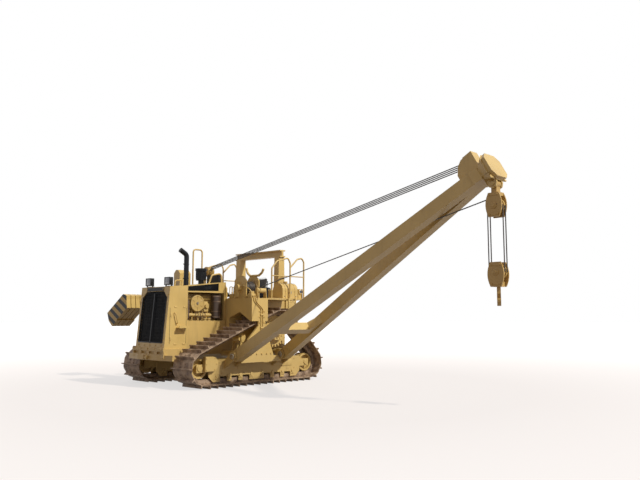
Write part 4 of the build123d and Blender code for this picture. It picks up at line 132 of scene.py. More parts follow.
def weathered_paint_group():
    """Machine paint outdoors: faded patches, vertical streaks, dust that thickens downwards, small chips."""
    group, given, result = group_sockets(
        "weathered_paint",
        (
            ("Paint", "NodeSocketColor", (0.62, 0.4, 0.1, 1)),
            ("Dust", "NodeSocketColor", (0.3, 0.22, 0.13, 1)),
            ("Dust Top", "NodeSocketFloat", 1.2),
            ("Dust Amount", "NodeSocketFloat", 0.6),
            ("Chips", "NodeSocketFloat", 0.5),
        ),
        (("Color", "NodeSocketColor"), ("Roughness", "NodeSocketFloat"), ("Height", "NodeSocketFloat")),
    )
    patches = noise(group, 1.7, 5)
    streaks = noise(group, 9, 5, (1, 1, 0.12))
    grain = noise(group, 60, 3)
    specks = noise(group, 26, 8)
    fall = value_math(group, "DIVIDE", object_axes(group)[2], given.outputs["Dust Top"])
    low = value_math(group, "SUBTRACT", 1.0, fall, clamp=True)
    cloud = value_math(group, "MULTIPLY_ADD", patches, 1.6, -0.35, clamp=True)
    dust = value_math(group, "MULTIPLY", low, cloud)
    dust = value_math(group, "MULTIPLY", dust, given.outputs["Dust Amount"], clamp=True)
    fade = value_math(group, "MULTIPLY_ADD", patches, 1.8, -0.5, clamp=True)
    light = mix_colour(group, fade, (0.84, 0.82, 0.80), (1.08, 1.08, 1.1))
    tinted = mix_colour(group, 1.0, given.outputs["Paint"], light, "MULTIPLY")
    run = value_math(group, "MULTIPLY_ADD", streaks, 2.6, -1.45, clamp=True)
    streaked = mix_colour(group, value_math(group, "MULTIPLY", run, 0.3), tinted, STREAK_BROWN)
    chip = value_math(group, "MULTIPLY_ADD", specks, 14, -9.6, clamp=True)
    chip = value_math(group, "MULTIPLY", chip, given.outputs["Chips"])
    chipped = mix_colour(group, chip, streaked, CHIP_BROWN)
    group.links.new(mix_colour(group, dust, chipped, given.outputs["Dust"]), result.inputs["Color"])
    rough = value_math(group, "MULTIPLY_ADD", dust, 0.35, 0.38)
    rough = value_math(group, "MULTIPLY_ADD", grain, 0.12, rough)
    group.links.new(rough, result.inputs["Roughness"])
    height = value_math(group, "MULTIPLY_ADD", chip, -0.4, value_math(group, "MULTIPLY", grain, 0.25))
    group.links.new(height, result.inputs["Height"])
    return group


WEATHERED_PAINT = weathered_paint_group()
RELIEF_DEPTH = 0.004


def new_material(name, values):
    """A material with its shader's inputs set, and its node tree."""
    material = bpy.data.materials.new(name)
    material.use_nodes = True
    tree = material.node_tree
    for label, value in values.items():
        tree.nodes["Principled BSDF"].inputs[label].default_value = value
    return material, tree


def link_surface(tree, colour, roughness=None, height=None, strength=0.0, depth=RELIEF_DEPTH):
    """Links a colour to a material's shader, with a roughness and a relief if they are given."""
    shader = tree.nodes["Principled BSDF"]
    tree.links.new(colour, shader.inputs["Base Color"])
    if roughness is not None:
        tree.links.new(roughness, shader.inputs["Roughness"])
    if height is not None:
        relief = tree.nodes.new("ShaderNodeBump")
        relief.inputs["Strength"].default_value = strength
        relief.inputs["Distance"].default_value = depth
        tree.links.new(height, relief.inputs["Height"])
        tree.links.new(relief.outputs["Normal"], shader.inputs["Normal"])


def finish_material(name, group, values, bump=0.15, metallic=0.0, coat=0.0, specular=0.5):
    """A material whose surface comes from a shared group, with its own values."""
    material, tree = new_material(
        name, {"Metallic": metallic, "Coat Weight": coat, "Specular IOR Level": specular}
    )
    surface = tree.nodes.new("ShaderNodeGroup")
    surface.node_tree = group
    for label, value in values.items():
        surface.inputs[label].default_value = (*value, 1) if isinstance(value, tuple) else value
    link_surface(tree, *(surface.outputs[label] for label in ("Color", "Roughness", "Height")), bump)
    return material


MACHINE_YELLOW = (0.64, 0.455, 0.145)
machine_paint = finish_material("machine_paint", WEATHERED_PAINT, {"Paint": MACHINE_YELLOW}, coat=0.08)
belly_paint = finish_material(
    "belly_paint", WEATHERED_PAINT, {"Paint": (0.60, 0.42, 0.135), "Dust Top": 1.5, "Dust Amount": 0.5}
)


def wear_material(names, material):
    """Gives CAD nodes one material."""
    for name in names:
        nodes[name].data.materials.clear()
        nodes[name].data.materials.append(material)


wear_material(BELLY_NODES, belly_paint)
wear_material([name for name in nodes if name not in BELLY_NODES], machine_paint)

EDGE_TURN = radians(34)


def linked_object(name, data):
    """A new object of the scene."""
    piece = bpy.data.objects.new(name, data)
    bpy.context.scene.collection.objects.link(piece)
    return piece


def object_from(name, mesh):
    """A new object of the scene with the form of a bmesh, which is freed."""
    data = bpy.data.meshes.new(name)
    mesh.to_mesh(data)
    mesh.free()
    return linked_object(name, data)


def finished_piece(name, mesh, material, body, shift=MIDDLE, smooth=True):
    """Turns a bmesh into a piece that rides on a body, smooth but for its edges."""
    bmesh.ops.translate(mesh, verts=mesh.verts, vec=shift)
    bmesh.ops.recalc_face_normals(mesh, faces=mesh.faces)
    for face in mesh.faces:
        face.smooth = smooth
    for edge in mesh.edges:
        if len(edge.link_faces) == 2 and edge.calc_face_angle() > EDGE_TURN:
            edge.smooth = False
    piece = object_from(name, mesh)
    if piece.data.uv_layers:
        piece.data.uv_layers[0].name = "length"
    piece.data.materials.append(material)
    if body:
        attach(piece, body)
    return piece


def facing(out):
    """Turn that brings the z axis to a direction."""
    return Vector(out).to_track_quat("Z", "X").to_matrix()


def edges_of(verts):
    """Every edge that meets some vertices, once."""
    return list({edge for vert in verts for edge in vert.link_edges})


def bevel(mesh, edges, offset, segments):
    """Rounds edges of a mesh."""
    bmesh.ops.bevel(
        mesh, geom=edges, offset=offset, offset_type="OFFSET", segments=segments, affect="EDGES", profile=0.5,
        material=-1,
    )


def rounded_block(mesh, low, high, edge=0.006, turn=None):
    """Adds a block between two corners with rounded edges, turned about its middle if asked."""
    low = Vector(low)
    high = Vector(high)
    verts = bmesh.ops.create_cube(mesh, size=1)["verts"]
    bmesh.ops.scale(mesh, vec=high - low, verts=verts)
    if turn:
        bmesh.ops.rotate(mesh, matrix=turn, verts=verts)
    bmesh.ops.translate(mesh, vec=(low + high) / 2, verts=verts)
    bevel(mesh, edges_of(verts), edge, 2)


def centred_block(mesh, middle, half, edge=0.006, turn=None):
    """Adds a rounded block by its middle and half its size."""
    middle = Vector(middle)
    half = Vector(half)
    rounded_block(mesh, middle - half, middle + half, edge, turn)


def round_bar(mesh, start, end, radius, sides=20, edge_width=0.004):
    """Adds a round bar between two points, with bevelled rims."""
    start = Vector(start)
    end = Vector(end)
    run = end - start
    verts = bmesh.ops.create_cone(
        mesh, cap_ends=True, segments=sides, radius1=radius, radius2=radius, depth=run.length
    )["verts"]
    bmesh.ops.rotate(mesh, verts=verts, matrix=facing(run))
    bmesh.ops.translate(mesh, verts=verts, vec=(start + end) / 2)
    rims = [edge for edge in edges_of(verts) if any(len(face.verts) == sides for face in edge.link_faces)]
    bevel(mesh, rims, edge_width, 1)


# Sides, radius, foot and top of a bolt's washer and head, the last three in shares of its size.
BOLT_PARTS = ((10, 1.4, -0.2, 0.25), (6, 1.0, 0.2, 0.95))


def bolt_heads(mesh, places, out, size=0.014):
    """Adds a hexagon head on a round washer at each place, standing along a direction."""
    turn = facing(out)
    for place in places:
        for sides, reach, low, high in BOLT_PARTS:
            radius = reach * size
            verts = bmesh.ops.create_cone(
                mesh, cap_ends=True, segments=sides, radius1=radius, radius2=radius, depth=(high - low) * size
            )["verts"]
            bmesh.ops.translate(mesh, verts=verts, vec=(0, 0, (low + high) / 2 * size))
            bmesh.ops.rotate(mesh, verts=verts, matrix=turn)
            bmesh.ops.translate(mesh, verts=verts, vec=Vector(place))


def ring_places(centre, radius, count, out, start=0.0):
    """Evenly spaced places on a ring round a direction."""
    turn = facing(out)
    places = []
    for index in range(count):
        angle = 2 * pi * index / count + start
        places.append(Vector(centre) + turn @ Vector((radius * cos(angle), radius * sin(angle), 0)))
    return places


def bolt_ring(mesh, centre, radius, count, out, size, start=0.0):
    """Adds evenly spaced bolt heads on a ring."""
    bolt_heads(mesh, ring_places(centre, radius, count, out, start), out, size)


def both_sides(mesh):
    """Adds the mirror image of everything on the other side of the tractor's middle plane."""
    geometry = mesh.verts[:] + mesh.edges[:] + mesh.faces[:]
    bmesh.ops.mirror(mesh, geom=geometry, matrix=Matrix(), merge_dist=0.0, axis="Y")


# Bolts and plates of the belly: access covers in the sides, the bottom band and the front box,
# held by hexagon screws of zinc-plated steel that has dulled and taken dust in its hollows.
plated_steel, tree = new_material("plated_steel", {"Metallic": 0.7})
dull = noise(tree, 30, 5)
link_surface(
    tree, mix_colour(tree, dull, (0.42, 0.38, 0.30), (0.20, 0.15, 0.10)),
    value_math(tree, "MULTIPLY_ADD", dull, 0.35, 0.3),
)
FORWARDS = (1, 0, 0)
BACKWARDS = (-1, 0, 0)
SIDEWAYS = (0, 1, 0)
UPWARDS = (0, 0, 1)
DOWNWARDS = (0, 0, -1)
BODY_HALF = 0.560
BELLY_BOTTOM = 0.62
FRONT_BOX_X = 2.302
GUARD_HALF = 0.639

belly_bolts = bmesh.new()
bolt_heads(belly_bolts, [(x, BODY_HALF, 0.70) for x in (-1.5, -1.2, 0.0, 0.3)], SIDEWAYS)
both_sides(belly_bolts)
bolt_heads(belly_bolts, [(FRONT_BOX_X, y, 0.905) for y in (-0.6, -0.3, 0.0, 0.3, 0.6)], FORWARDS, 0.016)
bolt_heads(
    belly_bolts, [(x, y, BELLY_BOTTOM) for x in (-1.4, -0.2, 0.7, 1.4) for y in (-0.4, 0.4)], DOWNWARDS, 0.016
)
bolt_ring(belly_bolts, (-0.75, 0, BELLY_BOTTOM), 0.19, 8, DOWNWARDS, 0.012)
finished_piece("belly_bolts", belly_bolts, belly_paint, "chassis")

side_covers = bmesh.new()
centred_block(side_covers, (-1.43, BODY_HALF, 1.00), (0.13, 0.010, 0.20), 0.008)
for latch_x, latch_z in ((1.95, 1.02), (1.95, 1.90), (1.70, 1.90), (1.70, 1.02)):
    centred_block(side_covers, (latch_x, GUARD_HALF, latch_z), (0.035, 0.010, 0.020))
both_sides(side_covers)
finished_piece("side_covers", side_covers, machine_paint, "chassis")


# Tracks: cast links and rolled shoes of bare steel, polished on the bars and caked with dust.
# Each runs as one loop over its idlers, rollers and raised sprocket.


def dirty_steel_group():
    """Bare steel that rusts and cakes: brown base, pale dust in patches, brighter where it rubs."""
    group, given, result = group_sockets(
        "dirty_steel",
        (
            ("Steel", "NodeSocketColor", (0.10, 0.07, 0.05, 1)),
            ("Dust", "NodeSocketColor", (0.52, 0.39, 0.26, 1)),
            ("Dust Amount", "NodeSocketFloat", 0.8),
        ),
        (("Color", "NodeSocketColor"), ("Roughness", "NodeSocketFloat"), ("Height", "NodeSocketFloat")),
    )
    clods = noise(group, 6, 8)
    grit = noise(group, 45, 6)
    cover = value_math(group, "MULTIPLY_ADD", clods, 3.2, -1.1, clamp=True)
    cover = value_math(group, "MULTIPLY", cover, given.outputs["Dust Amount"])
    rub = value_math(group, "MULTIPLY_ADD", grit, 2, -0.6, clamp=True)
    base = mix_colour(group, rub, given.outputs["Steel"], (0.19, 0.10, 0.05))
    group.links.new(mix_colour(group, cover, base, given.outputs["Dust"]), result.inputs["Color"])
    rough = value_math(group, "MULTIPLY_ADD", cover, 0.3, 0.55)
    group.links.new(rough, result.inputs["Roughness"])
    group.links.new(value_math(group, "ADD", grit, clods), result.inputs["Height"])
    return group


DIRTY_STEEL = dirty_steel_group()
track_steel = finish_material("track_steel", DIRTY_STEEL, {}, bump=0.5, metallic=0.2)
wear_material(("track_left", "track_right"), track_steel)

TRACK_Y = 1.143
IDLER_PLACES_X = (1.687, -1.735)
IDLER_Z = 0.464
SHOES = 44
PIN_TO_SHOE_FACE = 0.078
IDLER_RADIUS = 0.314
SPROCKET_RADIUS = 0.450
LOOP_WHEELS = (
    (IDLER_PLACES_X[0], IDLER_Z, IDLER_RADIUS),
    (SPROCKET_X, SPROCKET_Z, SPROCKET_RADIUS),
    (IDLER_PLACES_X[1], IDLER_Z, IDLER_RADIUS),
)
ARC_STEPS = 200


def chain_pins():
    """Places (x, z) of the chain's pins, evenly spaced along its arcs and straight runs."""
    wheels = [(Vector((x, z)), radius) for x, z, radius in LOOP_WHEELS]
    leaves = []
    for (centre, radius), (after, after_radius) in zip(wheels, wheels[1:] + wheels[:1]):
        run = after - centre
        tilt = (radius - after_radius) / run.length
        heading = atan2(run.y, run.x)
        leaves.append(heading - (pi / 2 - atan2(tilt, (1 - tilt * tilt) ** 0.5)))
    line = []
    for index, (centre, radius) in enumerate(wheels):
        entry = leaves[index - 1]
        turn = (leaves[index] - entry) % (2 * pi)
        for step in range(ARC_STEPS + 1):
            angle = entry + turn * step / ARC_STEPS
            line.append(centre + radius * Vector((cos(angle), sin(angle))))
    line.append(line[0])
    lengths = [0.0]
    for first, second in zip(line, line[1:]):
        lengths.append(lengths[-1] + (second - first).length)
    pins = []
    spot = 0
    for index in range(SHOES):
        reach = lengths[-1] * index / SHOES
        while lengths[spot + 1] <= reach:
            spot += 1
        share = (reach - lengths[spot]) / (lengths[spot + 1] - lengths[spot])
        pins.append(line[spot].lerp(line[spot + 1], share))
    return pins


CHAIN_PINS = chain_pins()
LINK_SIDE = 0.120
BOLT_SIDE = 0.095
BOLT_SHARES = (0.48, 0.82)

shoe_bolts = bmesh.new()
chain_links = bmesh.new()
for pin, after in zip(CHAIN_PINS, CHAIN_PINS[1:] + CHAIN_PINS[:1]):
    run = after - pin
    out = Vector((run.y, 0, -run.x)).normalized()
    along = Vector((run.x, 0, run.y))
    first = Vector((pin.x, TRACK_Y, pin.y))
    for side in (-1, 1):
        bolt_line = first + out * PIN_TO_SHOE_FACE + Vector((0, side * BOLT_SIDE, 0))
        bolt_heads(shoe_bolts, [bolt_line + along * share for share in BOLT_SHARES], out, 0.017)
        face = first + Vector((0, side * LINK_SIDE, 0))
        outside = Vector((0, side, 0))
        round_bar(chain_links, face - outside * 0.01, face + outside * 0.012, 0.034, 12)
        centred_block(
            chain_links, face + along * 0.5 + out * 0.012, (run.length * 0.40, 0.008, 0.040), 0.007,
            Matrix.Rotation(-atan2(run.y, run.x), 3, "Y"),
        )
both_sides(shoe_bolts)
both_sides(chain_links)
finished_piece("shoe_bolts", shoe_bolts, track_steel, "chassis")
finished_piece("chain_links", chain_links, track_steel, "chassis")

# Running wheels and sprockets: cast steel, painted yellow and rubbed bare where the chain runs.
# The final drive's case closes the sprocket with a ring of screws.
CAST_YELLOW = (0.62, 0.44, 0.14)
wheel_paint = finish_material(
    "wheel_paint", WEATHERED_PAINT, {"Paint": CAST_YELLOW, "Dust Top": 1.3, "Dust Amount": 0.4, "Chips": 0.9}
)
wear_material(
    [kind + "_" + side for kind in ("running_wheels", "sprocket", "roller_frame") for side in ("left", "right")],
    wheel_paint,
)
HUB_FACE_Y = 1.325
HUB_CAP_Y = 1.390
TOOTH_RING_Y = 1.201
IDLER_FACE_Y = 1.302
FRAME_FACE_Y = 1.313
RECOIL_FACE_Y = 1.403

wheel_bolts = bmesh.new()
for ring_y, radius, count, size in (
    (HUB_FACE_Y, 0.205, 16, 0.018), (HUB_CAP_Y, 0.095, 8, 0.012), (TOOTH_RING_Y, 0.315, 26, 0.015),
):
    bolt_ring(wheel_bolts, (SPROCKET_X, ring_y, SPROCKET_Z), radius, count, SIDEWAYS, size)
for idler_x in IDLER_PLACES_X:
    bolt_ring(wheel_bolts, (idler_x, IDLER_FACE_Y, IDLER_Z), 0.055, 4, SIDEWAYS, 0.014, 0.8)
recoil_bolts = ((1.33, 0.70), (1.28, 0.565), (1.33, 0.43), (1.57, 0.70), (1.57, 0.565), (1.57, 0.43))
bolt_heads(wheel_bolts, [(x, RECOIL_FACE_Y, z) for x, z in recoil_bolts], SIDEWAYS)
bolt_heads(
    wheel_bolts, [(x, FRAME_FACE_Y, z) for x in (-1.30, -1.05, -0.20, 0.10, 0.40, 1.05) for z in (0.34, 0.58)],
    SIDEWAYS, 0.013,
)
both_sides(wheel_bolts)
finished_piece("wheel_bolts", wheel_bolts, wheel_paint, "chassis")

ROLLERS = 8
ROLLERS_MIDDLE_X = -0.024
ROLLERS_SPAN = 2.434
ROLLER_CAP_Z = 0.259
roller_caps = bmesh.new()
for index in range(ROLLERS):
    roller_x = ROLLERS_MIDDLE_X + ROLLERS_SPAN * (index / (ROLLERS - 1) - 0.5)
    for side in (-1, 1):
        face = TRACK_Y + side * 0.170
        round_bar(
            roller_caps, (roller_x, face - side * 0.02, ROLLER_CAP_Z), (roller_x, face + side * 0.022, ROLLER_CAP_Z),
            0.045, 16, 0.006,
        )
        centred_block(roller_caps, (roller_x, face, 0.210), (0.055, 0.012, 0.025))
for idler_x in IDLER_PLACES_X:
    round_bar(roller_caps, (idler_x, 1.27, IDLER_Z), (idler_x, 1.320, IDLER_Z), 0.075, 20, 0.008)
round_bar(roller_caps, (0.42, 1.28, 1.086), (0.42, 1.315, 1.086), 0.060, 20, 0.008)
for low_x, high_x in ((-1.20, -0.85), (0.30, 0.58)):
    rounded_block(roller_caps, (low_x, FRAME_FACE_Y - 0.01, 0.40), (high_x, FRAME_FACE_Y + 0.014, 0.56), 0.008)
both_sides(roller_caps)
finished_piece("roller_caps", roller_caps, wheel_paint, "chassis")

# Black parts: grille, lamps, exhaust, precleaner and instrument panel.
# Matt heat- and weather-proof paint, greyed by dust.
black_paint = finish_material(
    "black_paint", WEATHERED_PAINT,
    {"Paint": (0.007, 0.008, 0.010), "Dust": (0.06, 0.05, 0.04), "Dust Amount": 0.15, "Chips": 0.1},
    specular=0.25,
)
wear_material(("grille", "headlights", "exhaust_stack", "precleaner", "console"), black_paint)


def of_kind(items, kind):
    """The items of a bmesh operator's result that are vertices, edges or faces."""
    return [item for item in items if isinstance(item, kind)]


def perforated_sheet(mesh, corners, out, pitch, web, thick):
    """Adds a punched sheet between four corners, given round from the lower left, standing along out."""
    first, second, third, fourth = (Vector(corner) for corner in corners)
    columns = max(2, round((second - first).length / pitch))
    rows = max(2, round((fourth - first).length / pitch))
    made = bmesh.ops.create_grid(mesh, x_segments=columns, y_segments=rows, size=0.5)["verts"]
    faces = list({face for vert in made for face in vert.link_faces})
    for vert in made:
        across = vert.co.x + 0.5
        up = vert.co.y + 0.5
        vert.co = first.lerp(second, across).lerp(fourth.lerp(third, across), up)
    frames = bmesh.ops.inset_individual(mesh, faces=faces, thickness=web, use_even_offset=True)["faces"]
    bmesh.ops.delete(mesh, geom=faces, context="FACES_ONLY")
    shell = bmesh.ops.extrude_face_region(mesh, geom=frames)["geom"]
    verts = of_kind(shell, bmesh.types.BMVert)
    bmesh.ops.translate(mesh, verts=verts, vec=Vector(out) * thick)


GUARD_FOOT_X = 2.248
GUARD_FOOT_Z = 0.908
GUARD_LEAN = (2.114 - GUARD_FOOT_X) / (2.391 - GUARD_FOOT_Z)
LEAN_TURN = Matrix.Rotation(GUARD_LEAN, 3, "Y")


def guard_front(y, z, out=0.0):
    """Point on the sloping front of the radiator guard."""
    return Vector((GUARD_FOOT_X + GUARD_LEAN * (z - GUARD_FOOT_Z) + out, y, z))


SCREEN_OUT = -0.012
front_screen = bmesh.new()
perforated_sheet(
    front_screen,
    [guard_front(y, z, SCREEN_OUT) for y, z in ((-0.53, 1.065), (0.53, 1.065), (0.53, 2.268), (-0.53, 2.268))],
    FORWARDS, 0.030, 0.0035, 0.004,
)
for side in (-1, 1):
    bmesh.ops.bisect_plane(
        front_screen, geom=front_screen.verts[:] + front_screen.edges[:] + front_screen.faces[:],
        plane_co=(0, side * 0.544, 2.13), plane_no=(0, side, 1), clear_outer=True,
    )
finished_piece("front_screen", front_screen, black_paint, "chassis", smooth=False)

# Radiator core behind the screen: thin tubes between rows of folded fins, painted flat black.
# It leans with the guard, and a frame of flat bar holds the screen before it.
CORE_OUT = -0.060
CORE_TUBES = 24
CORE_WIDTH = 1.058
CORE_BOTTOM = 1.056
core = bmesh.new()
for index in range(CORE_TUBES):
    y = CORE_WIDTH * ((index + 0.5) / CORE_TUBES - 0.5)
    top = 2.272 - max(0.0, abs(y) - 0.40)
    middle = (guard_front(y, CORE_BOTTOM, CORE_OUT) + guard_front(y, top, CORE_OUT)) / 2
    centred_block(core, middle, (0.020, 0.021, (top - CORE_BOTTOM) / 2), 0.010, LEAN_TURN)
finished_piece("radiator_core", core, black_paint, "chassis")

screen_frame = bmesh.new()
for y, z, half_y, half_z in ((0, 1.63, 0.022, 0.60), (-0.541, 1.60, 0.011, 0.55), (0.541, 1.60, 0.011, 0.55)):
    centred_block(screen_frame, guard_front(y, z), (0.009, half_y, half_z), 0.004, LEAN_TURN)
centred_block(screen_frame, guard_front(0, CORE_BOTTOM), (0.009, 0.54, 0.014), 0.004)
finished_piece("screen_frame", screen_frame, black_paint, "chassis")

guard_bolts = bmesh.new()
lean_out = (1, 0, -GUARD_LEAN)
guard_places = [guard_front(y, z) for z in (1.12, 1.42, 1.72, 2.02, 2.20) for y in (-0.592, 0.592)]
guard_places += [guard_front(y, 0.985) for y in (-0.5, -0.25, 0.0, 0.25, 0.5)]
bolt_heads(guard_bolts, guard_places, lean_out, 0.015)
bolt_heads(guard_bolts, [guard_front(y, 2.33, 0.012) for y in (-0.355, 0.355)], lean_out, 0.010)
finished_piece("guard_bolts", guard_bolts, machine_paint, "chassis")

HOOD_HALF = 0.500
hood_screens = bmesh.new()
perforated_sheet(
    hood_screens,
    ((0.594, HOOD_HALF - 0.008, 2.322), (1.521, HOOD_HALF - 0.008, 2.304),
     (1.521, HOOD_HALF - 0.008, 2.408), (0.594, HOOD_HALF - 0.008, 2.508)),
    SIDEWAYS, 0.022, 0.003, 0.004,
)
# A flat black sheet just behind the punched sheet fills its holes: painted shade of the engine bay behind the screen.
SHADE_SHEET_Y = HOOD_HALF - 0.0075
for vert in bmesh.ops.create_grid(hood_screens, x_segments=2, y_segments=1, size=0.5)["verts"]:
    across = vert.co.x + 0.5
    up = vert.co.y + 0.5
    height = 0.190 - 0.080 * across
    vert.co = Vector((0.592 + 0.931 * across, SHADE_SHEET_Y, 2.320 - 0.018 * across + up * height))
both_sides(hood_screens)
finished_piece("hood_screens", hood_screens, black_paint, "chassis", smooth=False)


MERGE_DISTANCE = 1e-6


def turned(mesh, centre, axis, profile, steps=32):
    """Adds a solid of revolution: pairs of reach and place along an axis through a centre."""
    turn = facing(axis)
    centre = Vector(centre)
    verts = [mesh.verts.new(centre + turn @ Vector((reach, 0, along))) for reach, along in profile]
    edges = [mesh.edges.new(pair) for pair in zip(verts, verts[1:])]
    bmesh.ops.spin(
        mesh, geom=verts + edges, cent=centre, axis=turn @ Vector((0, 0, 1)), dvec=(0, 0, 0), angle=2 * pi,
        steps=steps, use_merge=True,
    )
    bmesh.ops.remove_doubles(mesh, verts=mesh.verts, dist=MERGE_DISTANCE)


CLEANER_X = 0.79
cleaner = bmesh.new()
turned(
    cleaner, (CLEANER_X, 0, 0), UPWARDS,
    ((0, 2.905), (0.05, 2.904), (0.11, 2.893), (0.140, 2.872), (0.147, 2.853), (0.147, 2.845), (0.131, 2.842)), 36,
)
turned(cleaner, (CLEANER_X, 0, 0), UPWARDS, ((0.125, 2.66), (0.137, 2.655), (0.137, 2.635), (0.125, 2.63)), 36)
half_fin = Vector((0, 0, 0.085))
for place in ring_places((CLEANER_X, 0, 2.75), 0.129, 30, UPWARDS):
    round_bar(cleaner, place - half_fin, place + half_fin, 0.007, 6, 0.002)
finished_piece("precleaner_fins", cleaner, black_paint, "chassis")

STACK_X = 1.38
STACK_Y = 0.2
stack_bands = bmesh.new()
for z in (2.62, 2.98):
    turned(
        stack_bands, (STACK_X, STACK_Y, z), UPWARDS,
        ((0.061, -0.016), (0.067, -0.014), (0.067, 0.014), (0.061, 0.016)), 28,
    )
    centred_block(stack_bands, (STACK_X + 0.075, STACK_Y, z), (0.015, 0.015, 0.012), 0.004)
turned(
    stack_bands, (STACK_X, STACK_Y, 2.42), UPWARDS,
    ((0.061, 0), (0.100, 0.0), (0.104, 0.006), (0.100, 0.022), (0.061, 0.03)), 28,
)
finished_piece("stack_bands", stack_bands, black_paint, "chassis")

BEND_STEPS = 5


def bent_pipe(mesh, corners, radius, bend=0.05, sides=10):
    """Adds a pipe along corners with rounded bends, closed at both ends."""
    corners = [Vector(corner) for corner in corners]
    path = [corners[0]]
    for before, corner, after in zip(corners, corners[1:], corners[2:]):
        room = min(bend, (corner - before).length * 0.45, (after - corner).length * 0.45)
        first = corner + (before - corner).normalized() * room
        last = corner + (after - corner).normalized() * room
        for step in range(BEND_STEPS + 1):
            share = step / BEND_STEPS
            path.append(first.lerp(corner, share).lerp(corner.lerp(last, share), share))
    path.append(corners[-1])
    heading = (path[1] - path[0]).normalized()
    ring = bmesh.ops.create_circle(mesh, segments=sides, radius=radius)["verts"]
    bmesh.ops.rotate(mesh, verts=ring, matrix=facing(heading))
    bmesh.ops.translate(mesh, verts=ring, vec=path[0])
    edges = edges_of(ring)
    caps = list(edges)
    normal = heading
    for index in range(1, len(path)):
        made = bmesh.ops.extrude_edge_only(mesh, edges=edges)["geom"]
        verts = of_kind(made, bmesh.types.BMVert)
        edges = of_kind(made, bmesh.types.BMEdge)
        bmesh.ops.translate(mesh, verts=verts, vec=path[index] - path[index - 1])
        heading = (path[index] - path[index - 1]).normalized()
        if index + 1 < len(path):
            heading = (heading + (path[index + 1] - path[index]).normalized()).normalized()
        turn = normal.rotation_difference(heading).to_matrix()
        bmesh.ops.rotate(mesh, verts=verts, cent=path[index], matrix=turn)
        normal = heading
    bmesh.ops.holes_fill(mesh, edges=caps + edges, sides=0)


# Lamps: pressed housings with folded rims, each in a stirrup that is bolted down. The glass is clear and
# ribbed over a bright reflector, so that it is seen as one pale glossy face.
LENS_RIB_WAVE = 420.0
lamp_glass, tree = new_material("lamp_glass", {"Metallic": 0.35, "Coat Weight": 1.0})
ribs = value_math(tree, "SINE", value_math(tree, "MULTIPLY", object_axes(tree)[1], LENS_RIB_WAVE))
link_surface(
    tree, mix_colour(tree, ribs, (0.06, 0.065, 0.08), (0.16, 0.17, 0.20)),
    value_math(tree, "MULTIPLY_ADD", noise(tree, 18, 4), 0.2, 0.08),
)
LAMP_PLACES_Y = (0.30, -0.56)
LAMP_BACK_X = 1.890
LAMP_FACE_X = 2.000
LAMP_Z = (2.437, 2.630)
LAMP_HALF = 0.118
LAMP_RIM = 0.016
STIRRUP_X = 1.94
STIRRUP_FOOT_Z = 2.395
lamp_lenses = bmesh.new()
lamp_rims = bmesh.new()
for lamp_y in LAMP_PLACES_Y:
    low = Vector((LAMP_BACK_X, lamp_y - LAMP_HALF, LAMP_Z[0]))
    high = Vector((LAMP_FACE_X - 0.012, lamp_y + LAMP_HALF, LAMP_Z[1]))
    rounded_block(lamp_rims, low, high, 0.014)
    rounded_block(
        lamp_lenses, (high.x - 0.004, low.y + LAMP_RIM, low.z + LAMP_RIM),
        (high.x + 0.006, high.y - LAMP_RIM, high.z - LAMP_RIM), 0.004,
    )
    for low_y, high_y, low_z, high_z in (
        (low.y, high.y, low.z, low.z + LAMP_RIM),
        (low.y, high.y, high.z - LAMP_RIM, high.z),
        (low.y, low.y + LAMP_RIM, low.z, high.z),
        (high.y - LAMP_RIM, high.y, low.z, high.z),
    ):
        rounded_block(lamp_rims, (high.x - 0.006, low_y, low_z), (LAMP_FACE_X, high_y, high_z), 0.003)
    for side in (-1, 1):
        face = lamp_y + side * (LAMP_HALF + 0.006)
        rounded_block(lamp_rims, (1.92, face - 0.005, 2.405), (1.96, face + 0.005, 2.55), 0.003)
        bolt_heads(lamp_rims, [(STIRRUP_X, face + side * 0.004, 2.53)], (0, side, 0), 0.011)
    centred_block(lamp_rims, (STIRRUP_X, lamp_y, 2.411), (0.02, LAMP_HALF + 0.011, 0.006), 0.003)
    round_bar(lamp_rims, (STIRRUP_X, lamp_y, STIRRUP_FOOT_Z), (STIRRUP_X, lamp_y, 2.420), 0.028, 16)
    wire_y = lamp_y + 0.06
    bent_pipe(
        lamp_rims, ((1.900, wire_y, 2.50), (1.870, wire_y, 2.50), (1.860, wire_y, STIRRUP_FOOT_Z)), 0.006, 0.03, 8
    )
turned(
    lamp_lenses, (-1.44, 1.400, 2.33), SIDEWAYS,
    ((0, 0.026), (0.03, 0.025), (0.050, 0.019), (0.056, 0.012), (0.056, 0.0)), 28,
)
finished_piece("lamp_lenses", lamp_lenses, lamp_glass, "chassis")
lamp_housings = finished_piece("lamp_rims", lamp_rims, black_paint, "chassis")
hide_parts("headlights")

# Engine side: rocker and side covers, injection pump and lines, oil filters, turbocharger and pipes,
# cast and painted with the block, on both sides of it under the hood.
# The engine's paint takes a dark brown in patches over most of it, darker towards the bottom.
engine_paint = finish_material(
    "engine_paint", WEATHERED_PAINT,
    {"Paint": CAST_YELLOW, "Dust": (0.10, 0.06, 0.03), "Dust Top": 2.6, "Dust Amount": 0.9, "Chips": 1.0},
    bump=0.3,
)


def paint_copy(paint, name):
    """A copy of a paint under its own name, with its node tree and the group in it."""
    material = paint.copy()
    material.name = name
    tree = material.node_tree
    return material, tree, next(node for node in tree.nodes if node.type == "GROUP")
